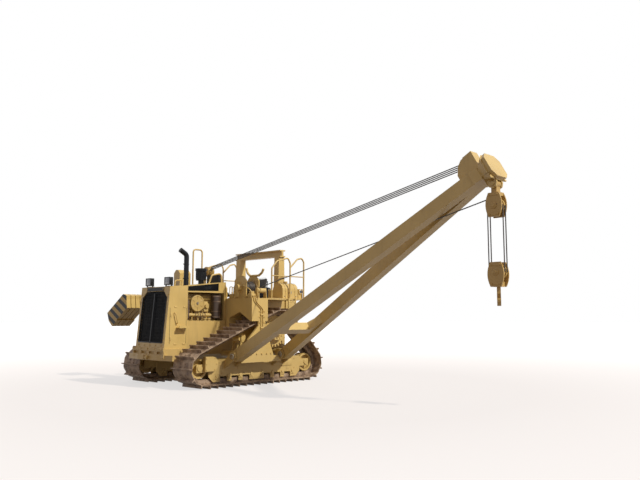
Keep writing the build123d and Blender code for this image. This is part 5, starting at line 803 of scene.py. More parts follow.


# The muffler's part of the dressing, behind the engine's own, is painted brown-black as painted shade of the dark
# recess it stands in.
MUFFLER_REACH_X = 0.735
RECESS_SHADE_BROWN = (0.045, 0.028, 0.018)
dressing_paint, tree, surface = paint_copy(engine_paint, "dressing_paint")
# Painted shade: behind this x the dressing takes a brown-black.
recess_shade_mask = value_math(tree, "LESS_THAN", object_axes(tree)[0], MIDDLE.x + MUFFLER_REACH_X)
tree.links.new(mix_colour(tree, recess_shade_mask, CAST_YELLOW, RECESS_SHADE_BROWN), surface.inputs["Paint"])
wear_material(("engine",), engine_paint)
wear_material(("engine_dressing",), dressing_paint)
ENGINE_FACE_Y = 0.290
COVER_PLACES_X = (0.76, 0.92, 1.08, 1.24, 1.40)
PUMP_PLACES_X = (1.02, 1.09, 1.16, 1.23, 1.30)
PUMP_Y = 0.355
OIL_FILTER_Y = 0.372
OIL_FILTER_TOP = 1.60
AIR_FILTER = Vector((1.18, 0.430, 2.0))

engine_side = bmesh.new()
for cover_x in COVER_PLACES_X:
    rounded_block(
        engine_side, (cover_x - 0.065, ENGINE_FACE_Y - 0.01, 1.34), (cover_x + 0.065, ENGINE_FACE_Y + 0.02, 1.50), 0.01
    )
rounded_block(engine_side, (0.70, ENGINE_FACE_Y - 0.01, 2.10), (1.46, ENGINE_FACE_Y + 0.05, 2.20), 0.012)
rounded_block(engine_side, (0.98, ENGINE_FACE_Y, 1.40), (1.36, ENGINE_FACE_Y + 0.10, 1.53), 0.015)
for pump_x in PUMP_PLACES_X:
    round_bar(engine_side, (pump_x, PUMP_Y, 1.52), (pump_x, PUMP_Y, 1.575), 0.016, 12, 0.003)
for filter_x in (0.80, 0.92):
    top = (filter_x, OIL_FILTER_Y, OIL_FILTER_TOP)
    round_bar(engine_side, (filter_x, OIL_FILTER_Y, 1.37), top, 0.052, 20, 0.010)
    turned(engine_side, top, UPWARDS, ((0.052, 0), (0.058, 0.004), (0.058, 0.028), (0.030, 0.036), (0, 0.036)), 20)
turned(
    engine_side, (0.90, 0.30, 1.93), SIDEWAYS,
    ((0.110, 0.0), (0.120, 0.03), (0.118, 0.07), (0.090, 0.10), (0.055, 0.105), (0.050, 0.15), (0, 0.15)), 28,
)
rounded_block(engine_side, (0.83, 0.30, 1.79), (0.97, 0.41, 1.86), 0.02)
turned(
    engine_side, AIR_FILTER, SIDEWAYS,
    ((0.196, -0.03), (0.203, -0.028), (0.203, 0.003), (0.196, 0.008), (0.172, 0.008), (0.168, 0.0)), 40,
)
rib_centre = AIR_FILTER + Vector((0, 0.003, 0))
for place in ring_places(rib_centre, 0.132, 6, SIDEWAYS):
    reach = (place - rib_centre).normalized()
    bent_pipe(engine_side, (place - reach * 0.035, place + reach * 0.04), 0.007, 0.01, 6)
both_sides(engine_side)
finished_piece("engine_side", engine_side, engine_paint, "chassis")

engine_pipes = bmesh.new()
for index, pump_x in enumerate(PUMP_PLACES_X):
    level = 0.012 * index
    line_x = pump_x - 0.10
    bent_pipe(
        engine_pipes,
        ((pump_x, PUMP_Y, 1.57), (pump_x, PUMP_Y, 1.63 + level), (line_x, 0.405, 1.66 + level),
         (line_x, 0.400, 1.80), (line_x, 0.30, 1.84)),
        0.006, 0.03, 7,
    )
for corners, radius, bend in (
    (((0.72, 0.30, 1.45), (0.72, 0.40, 1.45), (0.72, 0.40, 1.62), (0.80, 0.372, 1.64)), 0.013, 0.04),
    (((1.44, 0.30, 1.60), (1.44, 0.42, 1.60), (1.44, 0.42, 2.04), (1.40, 0.34, 2.08)), 0.022, 0.06),
    (((1.36, 0.345, 1.45), (1.53, 0.345, 1.45), (1.55, 0.40, 1.75), (1.55, 0.40, 2.16)), 0.018, 0.06),
):
    bent_pipe(engine_pipes, corners, radius, bend)
both_sides(engine_pipes)
dark_pipe = finish_material(
    "dark_pipe", DIRTY_STEEL, {"Steel": (0.05, 0.04, 0.035), "Dust Amount": 0.35}, bump=0.2, metallic=0.4
)
finished_piece("engine_pipes", engine_pipes, dark_pipe, "chassis")

engine_bolts = bmesh.new()
for cover_x in COVER_PLACES_X:
    places = [(cover_x + run, ENGINE_FACE_Y + 0.02, z) for run in (-0.048, 0.048) for z in (1.36, 1.48)]
    bolt_heads(engine_bolts, places, SIDEWAYS, 0.008)
bolt_heads(engine_bolts, [(0.74 + 0.114 * step, ENGINE_FACE_Y + 0.05, 2.15) for step in range(7)], SIDEWAYS, 0.010)
bolt_heads(engine_bolts, [AIR_FILTER + Vector((0, 0.005, 0))], SIDEWAYS, 0.026)
bolt_ring(engine_bolts, AIR_FILTER + Vector((0, 0.006, 0)), 0.184, 10, SIDEWAYS, 0.007)
both_sides(engine_bolts)
finished_piece("engine_bolts", engine_bolts, plated_steel, "chassis")

# Muffler beside the engine: a drum rolled from sheet steel, with two bands at each end.
# Its brown-black is painted shade of the dark recess behind the engine.
muffler = bmesh.new()
for z in (1.66, 1.80, 2.05, 2.18):
    turned(
        muffler, (0.61, 0.425, z), UPWARDS, ((0.119, -0.014), (0.126, -0.010), (0.126, 0.010), (0.119, 0.014)), 32
    )
both_sides(muffler)
finished_piece("muffler_bands", muffler, dark_pipe, "chassis")

# Guard steps, handle and door seam: folded plate with punched grips, a bent rod as a handle,
# and the narrow gap of the gasket round the side door.
guard_trim = bmesh.new()
for step_x in (1.70, 1.76, 1.82, 1.88):
    for step_y in (0.68, 0.73):
        turned(guard_trim, (step_x, step_y, 1.4495), UPWARDS, ((0.013, 0), (0.016, 0.004), (0.019, 0.0)), 12)
bent_pipe(
    guard_trim, ((1.985, 0.636, 1.76), (1.985, 0.690, 1.76), (1.915, 0.690, 1.51), (1.915, 0.636, 1.51)), 0.011, 0.03
)
for hinge_z in (1.15, 1.71):
    centred_block(guard_trim, (2.075, 0.641, hinge_z), (0.015, 0.009, 0.05), 0.004)
both_sides(guard_trim)
finished_piece("guard_trim", guard_trim, machine_paint, "chassis")

door_seams = bmesh.new()
for seam_x in (1.645, 2.105):
    rounded_block(door_seams, (seam_x - 0.004, 0.630, 1.03), (seam_x + 0.004, 0.6405, 1.88), 0.001)
both_sides(door_seams)
finished_piece("door_seams", door_seams, black_paint, "chassis")

# Winches on the portal frame: cast drums wound with wire rope between bolted bearing plates,
# each drum turned by its motor.
drum_steel = finish_material(
    "drum_steel", WEATHERED_PAINT, {"Paint": (0.50, 0.36, 0.14), "Dust Amount": 0.1, "Chips": 1.5}, bump=0.3
)
wear_material(("boom_winch_drum", "load_winch_drum"), drum_steel)
WINCH_X = 0.134
WINCH_Z = 2.390
WINCH_PLACES_Y = {"boom_winch": -0.250, "load_winch": 1.080}
WOUND_RADIUS = 0.0105
WOUND_PITCH = 2.05 * WOUND_RADIUS
WOUND_STEPS = 24

# Greased strands of rope lying in turns on a drum.
wound_rope, tree = new_material("wound_rope", {"Metallic": 0.6})
strands = noise(tree, 160, 3, (2.2, 1, 1))
link_surface(
    tree, mix_colour(tree, strands, (0.018, 0.016, 0.014), (0.14, 0.12, 0.10)),
    value_math(tree, "MULTIPLY_ADD", strands, 0.3, 0.35), strands, 0.5, 0.002,
)


def wound_layer(mesh, y, radius, low, turns):
    """Adds one layer of rope turns on a drum, as a screw round its axis."""
    ring = bmesh.ops.create_circle(mesh, segments=8, radius=WOUND_RADIUS, cap_ends=True)["verts"]
    bmesh.ops.rotate(mesh, verts=ring, matrix=Matrix.Rotation(pi / 2, 3, "X"))
    bmesh.ops.translate(mesh, verts=ring, vec=(low, y, WINCH_Z + radius))
    faces = list({face for vert in ring for face in vert.link_faces})
    bmesh.ops.spin(
        mesh, geom=ring + edges_of(ring) + faces, cent=(low, y, WINCH_Z), axis=FORWARDS,
        dvec=(WOUND_PITCH / WOUND_STEPS, 0, 0), angle=2 * pi * turns, steps=WOUND_STEPS * turns,
    )


for body, y in WINCH_PLACES_Y.items():
    coil = bmesh.new()
    wound_layer(coil, y, 0.1405, WINCH_X - 0.153, 14)
    wound_layer(coil, y, 0.1600, WINCH_X - 0.150, 8)
    finished_piece(body + "_rope", coil, wound_rope, body)

winch_trim = bmesh.new()
for y in WINCH_PLACES_Y.values():
    for face in (1, -1):
        plate = WINCH_X + face * 0.218
        out = (face, 0, 0)
        if face == 1 and y > 0:
            bolt_ring(winch_trim, (plate, y, WINCH_Z), 0.125, 8, out, 0.014)
            continue
        turned(
            winch_trim, (plate, y, WINCH_Z), out,
            ((0.10, -0.004), (0.10, 0.012), (0.062, 0.020), (0.055, 0.030), (0, 0.030)), 28,
        )
        bolt_ring(winch_trim, (plate + face * 0.010, y, WINCH_Z), 0.082, 8, out, 0.010)
    for foot_y in (y - 0.19, y + 0.19):
        for foot_x, half_x in ((WINCH_X - 0.205, 0.035), (WINCH_X + 0.22, 0.030)):
            centred_block(winch_trim, (foot_x, foot_y, 2.139), (half_x, 0.04, 0.011), 0.004)
finished_piece("winch_trim", winch_trim, machine_paint, "chassis")

# Valves and steel lines on the portal: a cast valve bank with its spools, and pipes to the winches
# and along the frame.
SPOOL_PLACES_X = [0.075 * index for index in range(5)]
SPOOL_Y = 0.69
valve_bank = bmesh.new()
rounded_block(valve_bank, (-0.04, 0.62, 2.128), (0.34, 0.76, 2.25), 0.012)
for x in SPOOL_PLACES_X:
    rounded_block(valve_bank, (x - 0.028, 0.60, 2.15), (x + 0.028, 0.78, 2.235))
    round_bar(valve_bank, (x, SPOOL_Y, 2.24), (x, SPOOL_Y, 2.30), 0.020, 14)
rounded_block(valve_bank, (0.24, 1.40, 2.128), (0.38, 1.56, 2.24), 0.012)
rounded_block(valve_bank, (0.26, 1.43, 2.23), (0.36, 1.53, 2.30), 0.010)
for x in (0.28, 0.34):
    round_bar(valve_bank, (x, 1.55, 2.18), (x, 1.585, 2.18), 0.018, 14)
finished_piece("valve_bank", valve_bank, wheel_paint, "chassis")

PORTAL_FACE_Y = 1.60
LINE_Y = 1.614
portal_lines = bmesh.new()
for index, x in enumerate(SPOOL_PLACES_X):
    top = 2.36 + 0.018 * index
    bent_pipe(portal_lines, ((x, SPOOL_Y, 2.29), (x, SPOOL_Y, top), (x, 0.585, top), (x, 0.585, 2.12)), 0.010, 0.03)
bent_pipe(portal_lines, ((0.40, 1.14, 2.44), (0.42, 1.30, 2.44), (0.33, 1.42, 2.36), (0.31, 1.47, 2.29)), 0.013, 0.05)
bent_pipe(portal_lines, ((0.42, 1.08, 2.31), (0.42, 1.08, 2.16), (0.36, 0.90, 2.16), (0.30, 0.77, 2.18)), 0.013, 0.05)
for line_x, drop_x in ((0.28, 0.045), (0.34, 0.105)):
    bent_pipe(
        portal_lines,
        ((line_x, 1.57, 2.18), (line_x, LINE_Y, 2.18), (line_x, LINE_Y, 2.05), (drop_x, LINE_Y, 1.86),
         (drop_x, LINE_Y, 1.30)),
        0.010, 0.05,
    )
finished_piece("portal_lines", portal_lines, wheel_paint, "chassis")

portal_bolts = bmesh.new()
bolt_heads(portal_bolts, [(x, PORTAL_FACE_Y, z) for x in (-0.01, 0.145) for z in (1.52, 1.66, 1.80)], SIDEWAYS, 0.018)
bolt_heads(portal_bolts, [(x, PORTAL_FACE_Y, 0.76) for x in (-0.24, -0.10, 0.06, 0.22, 0.40)], SIDEWAYS, 0.020)
bolt_heads(portal_bolts, [(x, y, 2.130) for x in (-0.08, 0.36) for y in (0.62, 1.45)], UPWARDS, 0.018)
for clamp_z in (1.72, 1.40):
    centred_block(portal_bolts, (0.080, 1.613, clamp_z), (0.045, 0.015, 0.018), 0.004)
finished_piece("portal_bolts", portal_bolts, machine_paint, "chassis")

# Operator's place: rubber-matted deck, padded seat on a sprung base, levers and dials.
# The deck is chequered plate; the pads are black vinyl over foam with sewn seams.
BAR_WAVE = 150.0
CUT_WAVE = 75.0
BAR_LEVEL = 0.75
WORN_STEEL = (0.30, 0.21, 0.10)


def slanting_bars(tree, axes, slope):
    """Short raised bars of chequered plate in one direction."""
    cross = value_math(tree, "MULTIPLY_ADD", axes[0], slope, axes[1])
    run = value_math(tree, "MULTIPLY_ADD", axes[1], -slope, axes[0])
    bar_wave = value_math(tree, "SINE", value_math(tree, "MULTIPLY", cross, BAR_WAVE))
    cut_wave = value_math(tree, "SINE", value_math(tree, "MULTIPLY", run, CUT_WAVE))
    bar = value_math(tree, "GREATER_THAN", bar_wave, BAR_LEVEL)
    return value_math(tree, "MULTIPLY", bar, value_math(tree, "GREATER_THAN", cut_wave, 0.1 * slope))


deck_paint, tree, surface = paint_copy(machine_paint, "chequer_plate")
axes = object_axes(tree)
raised = value_math(tree, "MAXIMUM", slanting_bars(tree, axes, 1.0), slanting_bars(tree, axes, -1.0))
relief = next(node for node in tree.nodes if node.type == "BUMP")
tree.links.new(value_math(tree, "ADD", surface.outputs["Height"], raised), relief.inputs["Height"])
link_surface(tree, mix_colour(tree, raised, surface.outputs["Color"], WORN_STEEL))
wear_material(("decks",), deck_paint)

# Black vinyl with a fine grain, dusty where it is sat on.
seat_vinyl, tree = new_material("seat_vinyl", {"Specular IOR Level": 0.4})
grain = tree.nodes.new("ShaderNodeTexVoronoi")
grain.inputs["Scale"].default_value = 320
tree.links.new(tree.nodes.new("ShaderNodeTexCoord").outputs["Object"], grain.inputs["Vector"])
rub = noise(tree, 7, 5)
link_surface(
    tree, mix_colour(tree, rub, (0.014, 0.014, 0.015), (0.075, 0.065, 0.055)),
    value_math(tree, "MULTIPLY_ADD", rub, 0.25, 0.42), grain.outputs["Distance"], 0.25, 0.001,
)
CLOTH_STEPS = 20
CLOTH_PRESSURE = 4
PAD_EDGE = 0.028
PAD_VOXEL = 0.014
PAD_SWELL = 0.014


def cushion(name, low, high, lean):
    """A padded block: blown up by cloth pressure, held to a largest swell and smoothed."""
    low = Vector(low)
    high = Vector(high)
    pad = bmesh.new()
    verts = bmesh.ops.create_cube(pad, size=1)["verts"]
    bmesh.ops.scale(pad, vec=high - low, verts=verts)
    bmesh.ops.rotate(pad, matrix=Matrix.Rotation(lean, 3, "Y"), verts=verts)
    bmesh.ops.translate(pad, vec=(low + high) / 2 + MIDDLE, verts=verts)
    bevel(pad, pad.edges[:], PAD_EDGE, 3)
    piece = object_from(name, pad)
    bpy.context.view_layer.objects.active = piece
    remesh = piece.modifiers.new("even", "REMESH")
    remesh.mode = "VOXEL"
    remesh.voxel_size = PAD_VOXEL
    apply_modifiers(piece)
    rest = [vert.co.copy() for vert in piece.data.vertices]
    cloth = piece.modifiers.new("blow", "CLOTH")
    cloth.settings.use_pressure = True
    cloth.settings.uniform_pressure_force = CLOTH_PRESSURE
    cloth.settings.effector_weights.gravity = 0
    scene = bpy.context.scene
    for step in range(1, CLOTH_STEPS + 1):
        scene.frame_set(step)
        bpy.context.evaluated_depsgraph_get()
    apply_modifiers(piece)
    scene.frame_set(1)
    for vert, start in zip(piece.data.vertices, rest):
        move = vert.co - start
        if move.length > PAD_SWELL:
            vert.co = start + move.normalized() * PAD_SWELL
    smooth = piece.modifiers.new("smooth", "SUBSURF")
    smooth.levels = 1
    smooth.render_levels = 1
    apply_modifiers(piece)
    for polygon in piece.data.polygons:
        polygon.use_smooth = True
    piece.data.materials.append(seat_vinyl)
    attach(piece, "chassis")
    return piece


def apply_modifiers(piece):
    """Replaces a piece's mesh by what its modifiers make of it."""
    graph = bpy.context.evaluated_depsgraph_get()
    made = bpy.data.meshes.new_from_object(piece.evaluated_get(graph))
    piece.modifiers.clear()
    old = piece.data
    piece.data = made
    bpy.data.meshes.remove(old)


BACK_LEAN = radians(-14)
seat_cushion = cushion("seat_cushion", (-1.255, -0.225, 2.322), (-0.815, 0.225, 2.392), 0.0)
seat_back = cushion("seat_back", (-1.292, -0.215, 2.44), (-1.222, 0.215, 2.735), BACK_LEAN)

seat_base = bmesh.new()
rounded_block(seat_base, (-1.22, -0.18, 2.143), (-0.86, 0.18, 2.175))
for index, reach in enumerate((0.165, 0.150, 0.165, 0.150, 0.165)):
    centred_block(seat_base, (-1.04, 0, 2.185 + 0.020 * index), (reach, reach, 0.012), 0.009)
rounded_block(seat_base, (-1.265, -0.235, 2.275), (-0.80, 0.235, 2.312), 0.010)
for y in (-0.16, 0.16):
    bent_pipe(seat_base, ((-1.22, y, 2.29), (-1.30, y, 2.31), (-1.335, y, 2.56), (-1.35, y, 2.66)), 0.014, 0.05)
bent_pipe(
    seat_base, ((-0.80, -0.15, 2.30), (-0.785, -0.15, 2.26), (-0.785, 0.15, 2.26), (-0.80, 0.15, 2.30)), 0.007, 0.02
)
seat_frame = finished_piece("seat_base", seat_base, black_paint, "chassis")
for seat_part in (seat_frame, seat_cushion, seat_back):
    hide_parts("seat")

piping = bmesh.new()
for z in (2.322, 2.392):
    bent_pipe(
        piping,
        ((-1.24, -0.236, z), (-0.83, -0.236, z), (-0.803, -0.21, z), (-0.803, 0.21, z), (-0.83, 0.236, z),
         (-1.24, 0.236, z), (-1.262, 0.21, z), (-1.262, -0.21, z), (-1.24, -0.236, z)),
        0.004, 0.02, 7,
    )
BACK_MIDDLE = Vector((-1.257, 0, 2.5875))
back_turn = Matrix.Rotation(BACK_LEAN, 3, "Y")
welt = [
    BACK_MIDDLE + back_turn @ Vector((0.030, y, z))
    for y, z in ((-0.19, -0.152), (0.19, -0.152), (0.219, -0.12), (0.219, 0.12), (0.19, 0.152), (-0.19, 0.152),
                 (-0.219, 0.12), (-0.219, -0.12), (-0.19, -0.152))
]
bent_pipe(piping, welt, 0.004, 0.02, 7)
finished_piece("seat_piping", piping, seat_vinyl, "chassis")

DECK_TOP = 2.143
controls = bmesh.new()
rounded_block(controls, (-1.12, 0.33, DECK_TOP), (-0.66, 0.47, 2.44), 0.02)
rounded_block(controls, (-1.14, 0.32, 2.43), (-0.64, 0.48, 2.465), 0.012)
rounded_block(controls, (-1.12, -0.47, DECK_TOP), (-0.66, -0.33, 2.42), 0.02)
for x in (-0.72, -0.79, -0.86, -0.93):
    bent_pipe(controls, ((x, 0.40, 2.46), (x + 0.015, 0.40, 2.56), (x + 0.05, 0.40, 2.64)), 0.006, 0.04, 8)
    turned(
        controls, (x + 0.055, 0.40, 2.635), (0.2, 0, 1),
        ((0, -0.004), (0.012, 0.0), (0.019, 0.016), (0.017, 0.032), (0, 0.042)), 14,
    )
for y in (-0.09, 0.09):
    bent_pipe(controls, ((-0.35, y, DECK_TOP), (-0.36, y, 2.45), (-0.44, y, 2.66)), 0.010, 0.08, 8)
    bent_pipe(controls, ((-0.425, y, 2.62), (-0.47, y, 2.73)), 0.017, 0.02, 12)
pedal_turn = Matrix.Rotation(0.5, 3, "Y")
for y in (-0.26, 0.26):
    centred_block(controls, (-0.285, y, 2.265), (0.015, 0.05, 0.065), 0.006, pedal_turn)
    bent_pipe(controls, ((-0.28, y, 2.26), (-0.22, y, DECK_TOP)), 0.009, 0.02, 8)
finished_piece("operator_controls", controls, black_paint, "chassis")

PANEL_X = 0.346
dials = bmesh.new()
dial_glass = bmesh.new()
for y, z, reach in (
    (-0.18, 2.68, 0.036), (-0.07, 2.69, 0.044), (0.05, 2.69, 0.044), (0.16, 2.68, 0.036), (0.0, 2.60, 0.028),
):
    turned(
        dials, (PANEL_X, y, z), BACKWARDS,
        ((reach * 0.86, 0.002), (reach * 0.9, 0.010), (reach, 0.010), (reach * 1.06, 0.0)), 24,
    )
    turned(dial_glass, (PANEL_X, y, z), BACKWARDS, ((0, 0.004), (reach * 0.5, 0.0038), (reach * 0.88, 0.003)), 24)
for key_y in (-0.2, -0.16, 0.12, 0.16, 0.2):
    centred_block(dials, (0.341, key_y, 2.600), (0.006, 0.012, 0.015), 0.003)
rounded_block(dials, (0.33, -0.265, 2.752), (0.43, 0.265, 2.762), 0.004)
finished_piece("dial_rims", dials, black_paint, "chassis")
finished_piece("dial_glass", dial_glass, lamp_glass, "chassis")

# Tanks: one beside the operator and one across the rear, folded and welded from steel plate.
# They have straps, filler caps, a sight tube and screwed covers, and the tail lamps stand on the rear one.
SADDLE_STEPS = 12
SADDLE_RADIUS = 0.197
SADDLE_FOOT = 2.150
SIDE_TANK_Y = 1.205
SIDE_TANK_SHOULDER = 2.355
tank_trim = bmesh.new()
for band_x in (-1.24, -0.90):
    corners = [(band_x, SIDE_TANK_Y - SADDLE_RADIUS, SADDLE_FOOT)]
    for step in range(SADDLE_STEPS + 1):
        angle = pi - pi * step / SADDLE_STEPS
        corners.append(
            (band_x, SIDE_TANK_Y + SADDLE_RADIUS * cos(angle), SIDE_TANK_SHOULDER + SADDLE_RADIUS * sin(angle))
        )
    corners.append((band_x, SIDE_TANK_Y + SADDLE_RADIUS, SADDLE_FOOT))
    bent_pipe(tank_trim, corners, 0.010, 0.02, 8)
turned(
    tank_trim, (-1.07, SIDE_TANK_Y, 2.548), UPWARDS,
    ((0.050, -0.006), (0.050, 0.018), (0.062, 0.020), (0.062, 0.046), (0.052, 0.052), (0, 0.054)), 24,
)
turned(
    tank_trim, (-1.83, -0.35, 2.35), UPWARDS,
    ((0.070, -0.05), (0.070, 0.05), (0.084, 0.052), (0.084, 0.082), (0.070, 0.090), (0, 0.092)), 24,
)
rounded_block(tank_trim, (-1.988, -0.20, 1.66), (-1.975, 0.20, 1.96), 0.005)
for y in (-0.57, 0.57):
    centred_block(tank_trim, (-1.980, y, 1.87), (0.010, 0.02, 0.33))
finished_piece("tank_trim", tank_trim, machine_paint, "chassis")

tank_fittings = bmesh.new()
bolt_heads(tank_fittings, [(-1.988, y, z) for y in (-0.17, 0.0, 0.17) for z in (1.69, 1.93)], BACKWARDS, 0.012)
bent_pipe(
    tank_fittings, ((-1.975, 0.42, 1.62), (-2.000, 0.42, 1.62), (-2.000, 0.42, 2.12), (-1.975, 0.42, 2.12)), 0.009, 0.02
)
bolt_heads(tank_fittings, [(-1.07 + run, 1.402, 2.20) for run in (-0.2, 0.0, 0.2)], SIDEWAYS, 0.012)
round_bar(tank_fittings, (-1.07, 1.395, 2.30), (-1.07, 1.412, 2.30), 0.045, 20, 0.005)
finished_piece("tank_fittings", tank_fittings, plated_steel, "chassis")

tail_lamps = bmesh.new()
tail_rims = bmesh.new()
for y in (-0.50, 0.50):
    lamp = (-1.92, y, 2.45)
    turned(tail_rims, lamp, BACKWARDS, ((0.05, 0), (0.06, 0.03), (0.066, 0.07), (0.060, 0.074), (0.055, 0.06)), 24)
    round_bar(tail_rims, (-1.88, y, 2.38), (-1.88, y, 2.46), 0.012, 10, 0.002)
    turned(tail_rims, lamp, FORWARDS, ((0.052, 0.0), (0.045, 0.03), (0.02, 0.05), (0, 0.052)), 24)
    turned(tail_lamps, lamp, BACKWARDS, ((0, 0.068), (0.03, 0.066), (0.056, 0.060)), 24)
finished_piece("tail_lamp_glass", tail_lamps, lamp_glass, "chassis")
finished_piece("tail_lamp_rims", tail_rims, black_paint, "chassis")

# Roll bar: two posts and a beam over the operator, welded from thick plate.
# Six screws hold each post's foot plate, and four screws a side hold the beam.
rops_bolts = bmesh.new()
for side in (-1, 1):
    post_y = side * 0.83
    for x in (-1.27, -1.18, -1.10):
        bolt_heads(rops_bolts, [(x, post_y + across, 2.158) for across in (-0.135, 0.135)], UPWARDS, 0.016)
    beam_bolts = [(x, side * 0.925, z) for x in (-1.234, -1.134) for z in (3.20, 3.26)]
    bolt_heads(rops_bolts, beam_bolts, (0, side, 0))
    rounded_block(rops_bolts, (-1.32, post_y - 0.16, DECK_TOP), (-1.05, post_y + 0.16, 2.160), 0.005)
finished_piece("rops_bolts", rops_bolts, plated_steel, "chassis")

# Boom: two box-section legs of welded plate, pinned at their feet and joined at the head.
# The head's plate, sheave housing and pins are bolted on.
BOOM_FOOT_Y = 1.623
BOOM_FOOT_Z = 0.731
BOOM_ANGLE = radians(29.5)
HOIST_X = 0.060


def boom_turn():
    """Turn from the boom's own axes, along +Y, to its place at rest."""
    return Matrix.Rotation(BOOM_ANGLE, 3, "X")


def lay_on_boom(mesh):
    """Brings what was made along the boom's own axes to its place."""
    bmesh.ops.rotate(mesh, verts=mesh.verts, matrix=boom_turn())
    bmesh.ops.translate(mesh, verts=mesh.verts, vec=(0, BOOM_FOOT_Y, BOOM_FOOT_Z))


FRONT_FOOT_X = 0.821
REAR_FOOT_X = -0.702
foot_pins = bmesh.new()
for foot_x in (FRONT_FOOT_X, REAR_FOOT_X):
    for side in (-1, 1):
        face = Vector((foot_x + side * 0.187, BOOM_FOOT_Y, BOOM_FOOT_Z))
        out = Vector((side, 0, 0))
        round_bar(foot_pins, face - out * 0.01, face + out * 0.016, 0.070, 24, 0.006)
        bolt_ring(foot_pins, face + out * 0.014, 0.040, 3, out, 0.012)
finished_piece("foot_pins", foot_pins, plated_steel, "chassis")

boom_trim = bmesh.new()
for foot_x, side in ((FRONT_FOOT_X, 1), (REAR_FOOT_X, -1)):
    for along in (0.16, 0.30):
        centred_block(boom_trim, (foot_x - side * along * 0.1, along, 0), (0.123, 0.01, 0.138), 0.004)
lay_on_boom(boom_trim)
finished_piece("boom_trim", boom_trim, machine_paint, "boom")

# Boom head: a collar and an even octagon of thick plate that close the end of the boom, welded on.
# Both are made narrower here than on the solid.
PLATE_BACK = 7.455
PLATE_SHARE_X = 0.66
COLLAR_BACK = 7.245
COLLAR_SHARE_X = 0.74
LUG_TOP = -0.24
PLATE_SHARE_ABOVE = 0.88
head_shell = bmesh.new()
head_shell.from_mesh(nodes["boom_head"].data)
bmesh.ops.remove_doubles(head_shell, verts=head_shell.verts, dist=MERGE_DISTANCE)
bmesh.ops.translate(head_shell, verts=head_shell.verts, vec=-(MIDDLE + Vector((0, BOOM_FOOT_Y, BOOM_FOOT_Z))))
bmesh.ops.rotate(head_shell, verts=head_shell.verts, matrix=boom_turn().inverted())
for vert in head_shell.verts:
    if vert.co.y > PLATE_BACK:
        vert.co.x = HOIST_X + (vert.co.x - HOIST_X) * PLATE_SHARE_X
        vert.co.z *= PLATE_SHARE_ABOVE
    elif vert.co.y > COLLAR_BACK and vert.co.z > LUG_TOP:
        vert.co.x = HOIST_X + (vert.co.x - HOIST_X) * COLLAR_SHARE_X
lay_on_boom(head_shell)
head_piece = finished_piece("boom_head_shell", head_shell, machine_paint, "boom")
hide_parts("boom_head")

# Hoist blocks and hook: cast cheeks over two sheaves, held by through-bolts and straps, and a forged
# hook below them.
BOOM_PIN_ALONG = 7.346
BOOM_PIN_BELOW = 0.300
UPPER_PIN_Y = BOOM_FOOT_Y + BOOM_PIN_ALONG * cos(BOOM_ANGLE) + BOOM_PIN_BELOW * sin(BOOM_ANGLE)
UPPER_PIN_Z = BOOM_FOOT_Z + BOOM_PIN_ALONG * sin(BOOM_ANGLE) - BOOM_PIN_BELOW * cos(BOOM_ANGLE)
LOWER_PIN_Z = 2.654
block_steel = finish_material(
    "block_paint", WEATHERED_PAINT, {"Paint": (0.56, 0.37, 0.11), "Dust Amount": 0.0, "Chips": 1.4}, bump=0.3
)
wear_material(("upper_block", "lower_block", "hook"), block_steel)


def block_trim(name, body, axle_z, straps):
    """Bolts, axle nuts and straps on both cheeks of a hoist block."""
    mesh = bmesh.new()
    for side in (-1, 1):
        out = Vector((side, 0, 0))
        face = Vector((HOIST_X + side * 0.100, UPPER_PIN_Y, axle_z))
        turned(
            mesh, face, out,
            ((0.062, -0.004), (0.062, 0.012), (0.050, 0.020), (0.034, 0.020), (0.030, 0.034), (0, 0.034)), 24,
        )
        bolt_ring(mesh, face + out * 0.010, 0.050, 4, out, 0.008)
        for strap_z in straps:
            centred_block(mesh, (face.x, face.y, strap_z), (0.008, 0.105, 0.022), 0.004)
            places = [(face.x + side * 0.008, face.y + across, strap_z) for across in (-0.08, 0.08)]
            bolt_heads(mesh, places, out)
    finished_piece(name, mesh, block_steel, body)


block_trim("upper_block_trim", "upper_block", UPPER_PIN_Z - 0.400, (UPPER_PIN_Z - 0.20, UPPER_PIN_Z - 0.56))
block_trim("lower_block_trim", "lower_block", LOWER_PIN_Z - 0.185, (2.60, 2.26))

# Counterweight: four cast slabs on one shaft, painted yellow, with slanting black warning stripes across
# the front slab's outer face. Two arms carry it and a cylinder swings it out.
STRIPE_SLOPE = 1.884
STRIPES_PER_METRE = 2.1
STRIPE_PHASE = 0.049
STRIPE_BLACK = (0.008, 0.008, 0.009)
striped_paint, tree, surface = paint_copy(machine_paint, "striped_paint")
axes = object_axes(tree)
slope = value_math(tree, "MULTIPLY_ADD", axes[2], STRIPE_SLOPE, axes[1])
phase = STRIPE_PHASE - STRIPES_PER_METRE * MIDDLE.y
wave = value_math(tree, "FRACT", value_math(tree, "MULTIPLY_ADD", slope, STRIPES_PER_METRE, phase))
front = value_math(tree, "GREATER_THAN", axes[0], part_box("counterweight")[1].x - 0.004)
mask = value_math(tree, "MULTIPLY", value_math(tree, "GREATER_THAN", wave, 0.5), front)
tree.nodes["Principled BSDF"].inputs["Specular IOR Level"].default_value = 0.2
tree.nodes["Principled BSDF"].inputs["Coat Weight"].default_value = 0.0
tree.links.new(mix_colour(tree, mask, MACHINE_YELLOW, STRIPE_BLACK), surface.inputs["Paint"])
wear_material(("counterweight",), striped_paint)

# Counterweight cylinder rod: ground steel bar, chromed against rust.
# The seal of its barrel wipes it clean at every stroke.
chrome, tree = new_material("rod_chrome", {"Metallic": 1})
smear = noise(tree, 12, 4)
link_surface(
    tree, mix_colour(tree, smear, (0.62, 0.63, 0.65), (0.50, 0.49, 0.47)),
    value_math(tree, "MULTIPLY_ADD", smear, 0.25, 0.05),
)
wear_material(("cylinder_rod",), chrome)
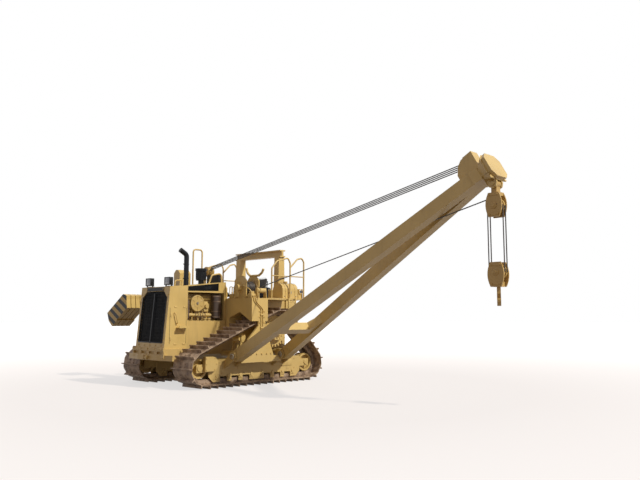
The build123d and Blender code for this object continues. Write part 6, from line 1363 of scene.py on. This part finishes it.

# Wire ropes: stranded steel, greased, taut between their blocks.
# Each is a straight tube from one end of its line to the other, in place of the CAD's pieces.
ROPE_RADIUS = 0.011
ROPE_SIDES = 10
ROPE_LENGTHS = 24
NEAR_FAN = 0.045
FAR_FAN = 0.055

# Greased steel strands wound round the rope, drawn on the tube's own map of turns and metres.
STRANDS = 6.0
TWISTS_PER_METRE = 9.0
wire_rope, tree = new_material("wire_rope", {"Metallic": 0.6, "Roughness": 0.5})
rope_map = tree.nodes.new("ShaderNodeUVMap")
rope_map.uv_map = "length"
separate = tree.nodes.new("ShaderNodeSeparateXYZ")
tree.links.new(rope_map.outputs[0], separate.inputs[0])
turns = value_math(tree, "MULTIPLY", separate.outputs[0], STRANDS)
twist = value_math(tree, "MULTIPLY_ADD", separate.outputs[1], TWISTS_PER_METRE, turns)
wave = value_math(tree, "SINE", value_math(tree, "MULTIPLY", twist, 2 * pi))
strand = value_math(tree, "MULTIPLY_ADD", wave, 0.5, 0.5)
link_surface(
    tree, mix_colour(tree, strand, (0.02, 0.018, 0.016), (0.11, 0.10, 0.09)), None, strand, 0.6, 0.002
)


def straight_rope(mesh, start, end):
    """Adds a round rope from start to end, with rings along it and a map of turns and metres."""
    run = end - start
    ring = bmesh.ops.create_circle(mesh, segments=ROPE_SIDES, radius=ROPE_RADIUS)["verts"]
    turn = facing(run)
    bmesh.ops.rotate(mesh, verts=ring, matrix=turn)
    bmesh.ops.translate(mesh, verts=ring, vec=start)
    edges = edges_of(ring)
    layer = mesh.loops.layers.uv.verify()
    side = turn @ Vector((1, 0, 0))
    up = turn @ Vector((0, 1, 0))
    for step in range(ROPE_LENGTHS):
        made = bmesh.ops.extrude_edge_only(mesh, edges=edges)["geom"]
        verts = of_kind(made, bmesh.types.BMVert)
        edges = of_kind(made, bmesh.types.BMEdge)
        faces = of_kind(made, bmesh.types.BMFace)
        bmesh.ops.translate(mesh, verts=verts, vec=run / ROPE_LENGTHS)
        for face in faces:
            middle = face.calc_center_median() - start
            base = atan2(middle.dot(up), middle.dot(side))
            for loop in face.loops:
                place = loop.vert.co - start
                angle = atan2(place.dot(up), place.dot(side))
                if angle - base > pi:
                    angle -= 2 * pi
                if base - angle > pi:
                    angle += 2 * pi
                loop[layer].uv = (angle / (2 * pi), place.length)


def islands(name):
    """Vertices of each separate solid of a CAD node."""
    data = bmesh.new()
    data.from_mesh(nodes[name].data)
    bmesh.ops.remove_doubles(data, verts=data.verts, dist=MERGE_DISTANCE)
    left = set(data.verts)
    found = []
    while left:
        seed = left.pop()
        shell = [seed]
        queue = [seed]
        while queue:
            vert = queue.pop()
            for edge in vert.link_edges:
                other = edge.other_vert(vert)
                if other in left:
                    left.discard(other)
                    queue.append(other)
                    shell.append(other)
        found.append([vert.co.copy() for vert in shell])
    data.free()
    return found


END_DEPTH = 0.002


def end_centre(points, along, last):
    """Centre of the end face of a straight bar's points, first or last along a direction."""
    reach = [point.dot(along) for point in points]
    limit = max(reach) if last else min(reach)
    face = [point for point, value in zip(points, reach) if abs(value - limit) < END_DEPTH]
    return sum(face, Vector()) / len(face)


def from_behind(shells):
    """Solids in the order of their middles along x."""
    return sorted(shells, key=lambda points: sum(point.x for point in points) / len(points))


def telescopic_rope(piece, near, far):
    """One mesh for all the ropes of a line, in place of the CAD's sleeves and cores."""
    near_shells = from_behind(islands(near))
    far_shells = from_behind(islands(far))
    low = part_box(near)[0]
    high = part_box(far)[1]
    along = (Vector((0, high.y, high.z)) - Vector((0, low.y, low.z))).normalized()
    mesh = bmesh.new()
    down = Vector((0, along.z, -along.y))
    for index, (first, second) in enumerate(zip(near_shells, far_shells)):
        start = end_centre(first, along, False) + down * (NEAR_FAN * index)
        end = end_centre(second, along, True) + down * (FAR_FAN * index)
        straight_rope(mesh, start, end)
    rope = finished_piece(piece, mesh, wire_rope, None, Vector())
    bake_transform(rope)
    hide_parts(near, far)


telescopic_rope("boom_line_ropes", "boom_line_near", "boom_line_far")
telescopic_rope("load_line_rope", "load_line_near", "load_line_far")

falls = bmesh.new()
for shell in islands("hoist_falls"):
    straight_rope(falls, end_centre(shell, Vector(UPWARDS), True), end_centre(shell, Vector(UPWARDS), False))
fall_ropes = finished_piece("fall_ropes", falls, wire_rope, None, Vector())
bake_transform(fall_ropes)
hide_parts("hoist_falls")

# Studio: a pale floor, a white background, and sun from the machine's left and rear, high up.
# The camera stands where the photograph was taken from, with its lens.
FLOOR_HALF = 150
FLOOR_GLOW_NEAR = 0.66
FLOOR_GLOW_GAIN = 0.36
floor_mesh = bmesh.new()
bmesh.ops.create_grid(floor_mesh, x_segments=1, y_segments=1, size=FLOOR_HALF)
floor = object_from("studio_floor", floor_mesh)


def seen_directly(tree):
    """1 where a camera, glossy or transmission ray looks, 0 for the light that bounces."""
    path = tree.nodes.new("ShaderNodeLightPath").outputs
    seen = value_math(tree, "MAXIMUM", path["Is Camera Ray"], path["Is Glossy Ray"])
    return value_math(tree, "MAXIMUM", seen, path["Is Transmission Ray"])


floor_material, tree = new_material("studio_floor", {
    "Base Color": (0.22, 0.19, 0.165, 1), "Roughness": 0.9, "Specular IOR Level": 0.1,
    "Emission Color": (1, 0.99, 0.98, 1),
})
floor_reach = tree.nodes.new("ShaderNodeVectorMath")
floor_reach.operation = "LENGTH"
tree.links.new(tree.nodes.new("ShaderNodeTexCoord").outputs["Object"], floor_reach.inputs[0])
far_off = value_math(tree, "MULTIPLY_ADD", floor_reach.outputs["Value"], 0.045, -0.25, clamp=True)
floor_glow = value_math(tree, "MULTIPLY_ADD", far_off, FLOOR_GLOW_GAIN, FLOOR_GLOW_NEAR)
floor_light = value_math(tree, "MULTIPLY", seen_directly(tree), floor_glow)
tree.links.new(floor_light, tree.nodes["Principled BSDF"].inputs["Emission Strength"])
floor.data.materials.append(floor_material)

SKY_TINT = (1.0, 0.90, 1.08)
BOUNCE_SHARE = 0.34
world = bpy.data.worlds.new("studio")
bpy.context.scene.world = world
world.use_nodes = True
tree = world.node_tree
background = tree.nodes["Background"]
seen = seen_directly(tree)
tree.links.new(mix_colour(tree, seen, SKY_TINT, (1, 1, 1)), background.inputs["Color"])
tree.links.new(value_math(tree, "MULTIPLY_ADD", seen, 1 - BOUNCE_SHARE, BOUNCE_SHARE), background.inputs["Strength"])

SUN_FROM = Vector((-0.20, 0.71, 0.68))
SUN_STRENGTH = 3.3
SUN_ANGLE = radians(2.5)
SUN_TINT = (1, 0.97, 0.92)
sun_data = bpy.data.lights.new("sun", "SUN")
sun_data.energy = SUN_STRENGTH
sun_data.angle = SUN_ANGLE
sun_data.color = SUN_TINT
sun = linked_object("sun", sun_data)
sun.location = MIDDLE + SUN_FROM * 20
sun.rotation_euler = (-SUN_FROM).to_track_quat("-Z", "Y").to_euler()

SENSOR_WIDTH = 36
FOCAL_PIXELS = 664.867
PHOTO_WIDTH = 640
camera_data = bpy.data.cameras.new("camera")
camera_data.sensor_width = SENSOR_WIDTH
camera_data.lens = FOCAL_PIXELS * SENSOR_WIDTH / PHOTO_WIDTH
camera_data.clip_end = 400
camera = linked_object("camera", camera_data)
CAMERA_FROM = Vector((10.887, 14.329, 1.674))
camera.location = MIDDLE + CAMERA_FROM
heading = radians(224.68)
pitch = radians(6.56)
aim = Vector((cos(heading) * cos(pitch), sin(heading) * cos(pitch), sin(pitch)))
camera.rotation_euler = aim.to_track_quat("-Z", "Y").to_euler()
bpy.context.scene.camera = camera
bpy.context.scene.view_settings.view_transform = "Standard"
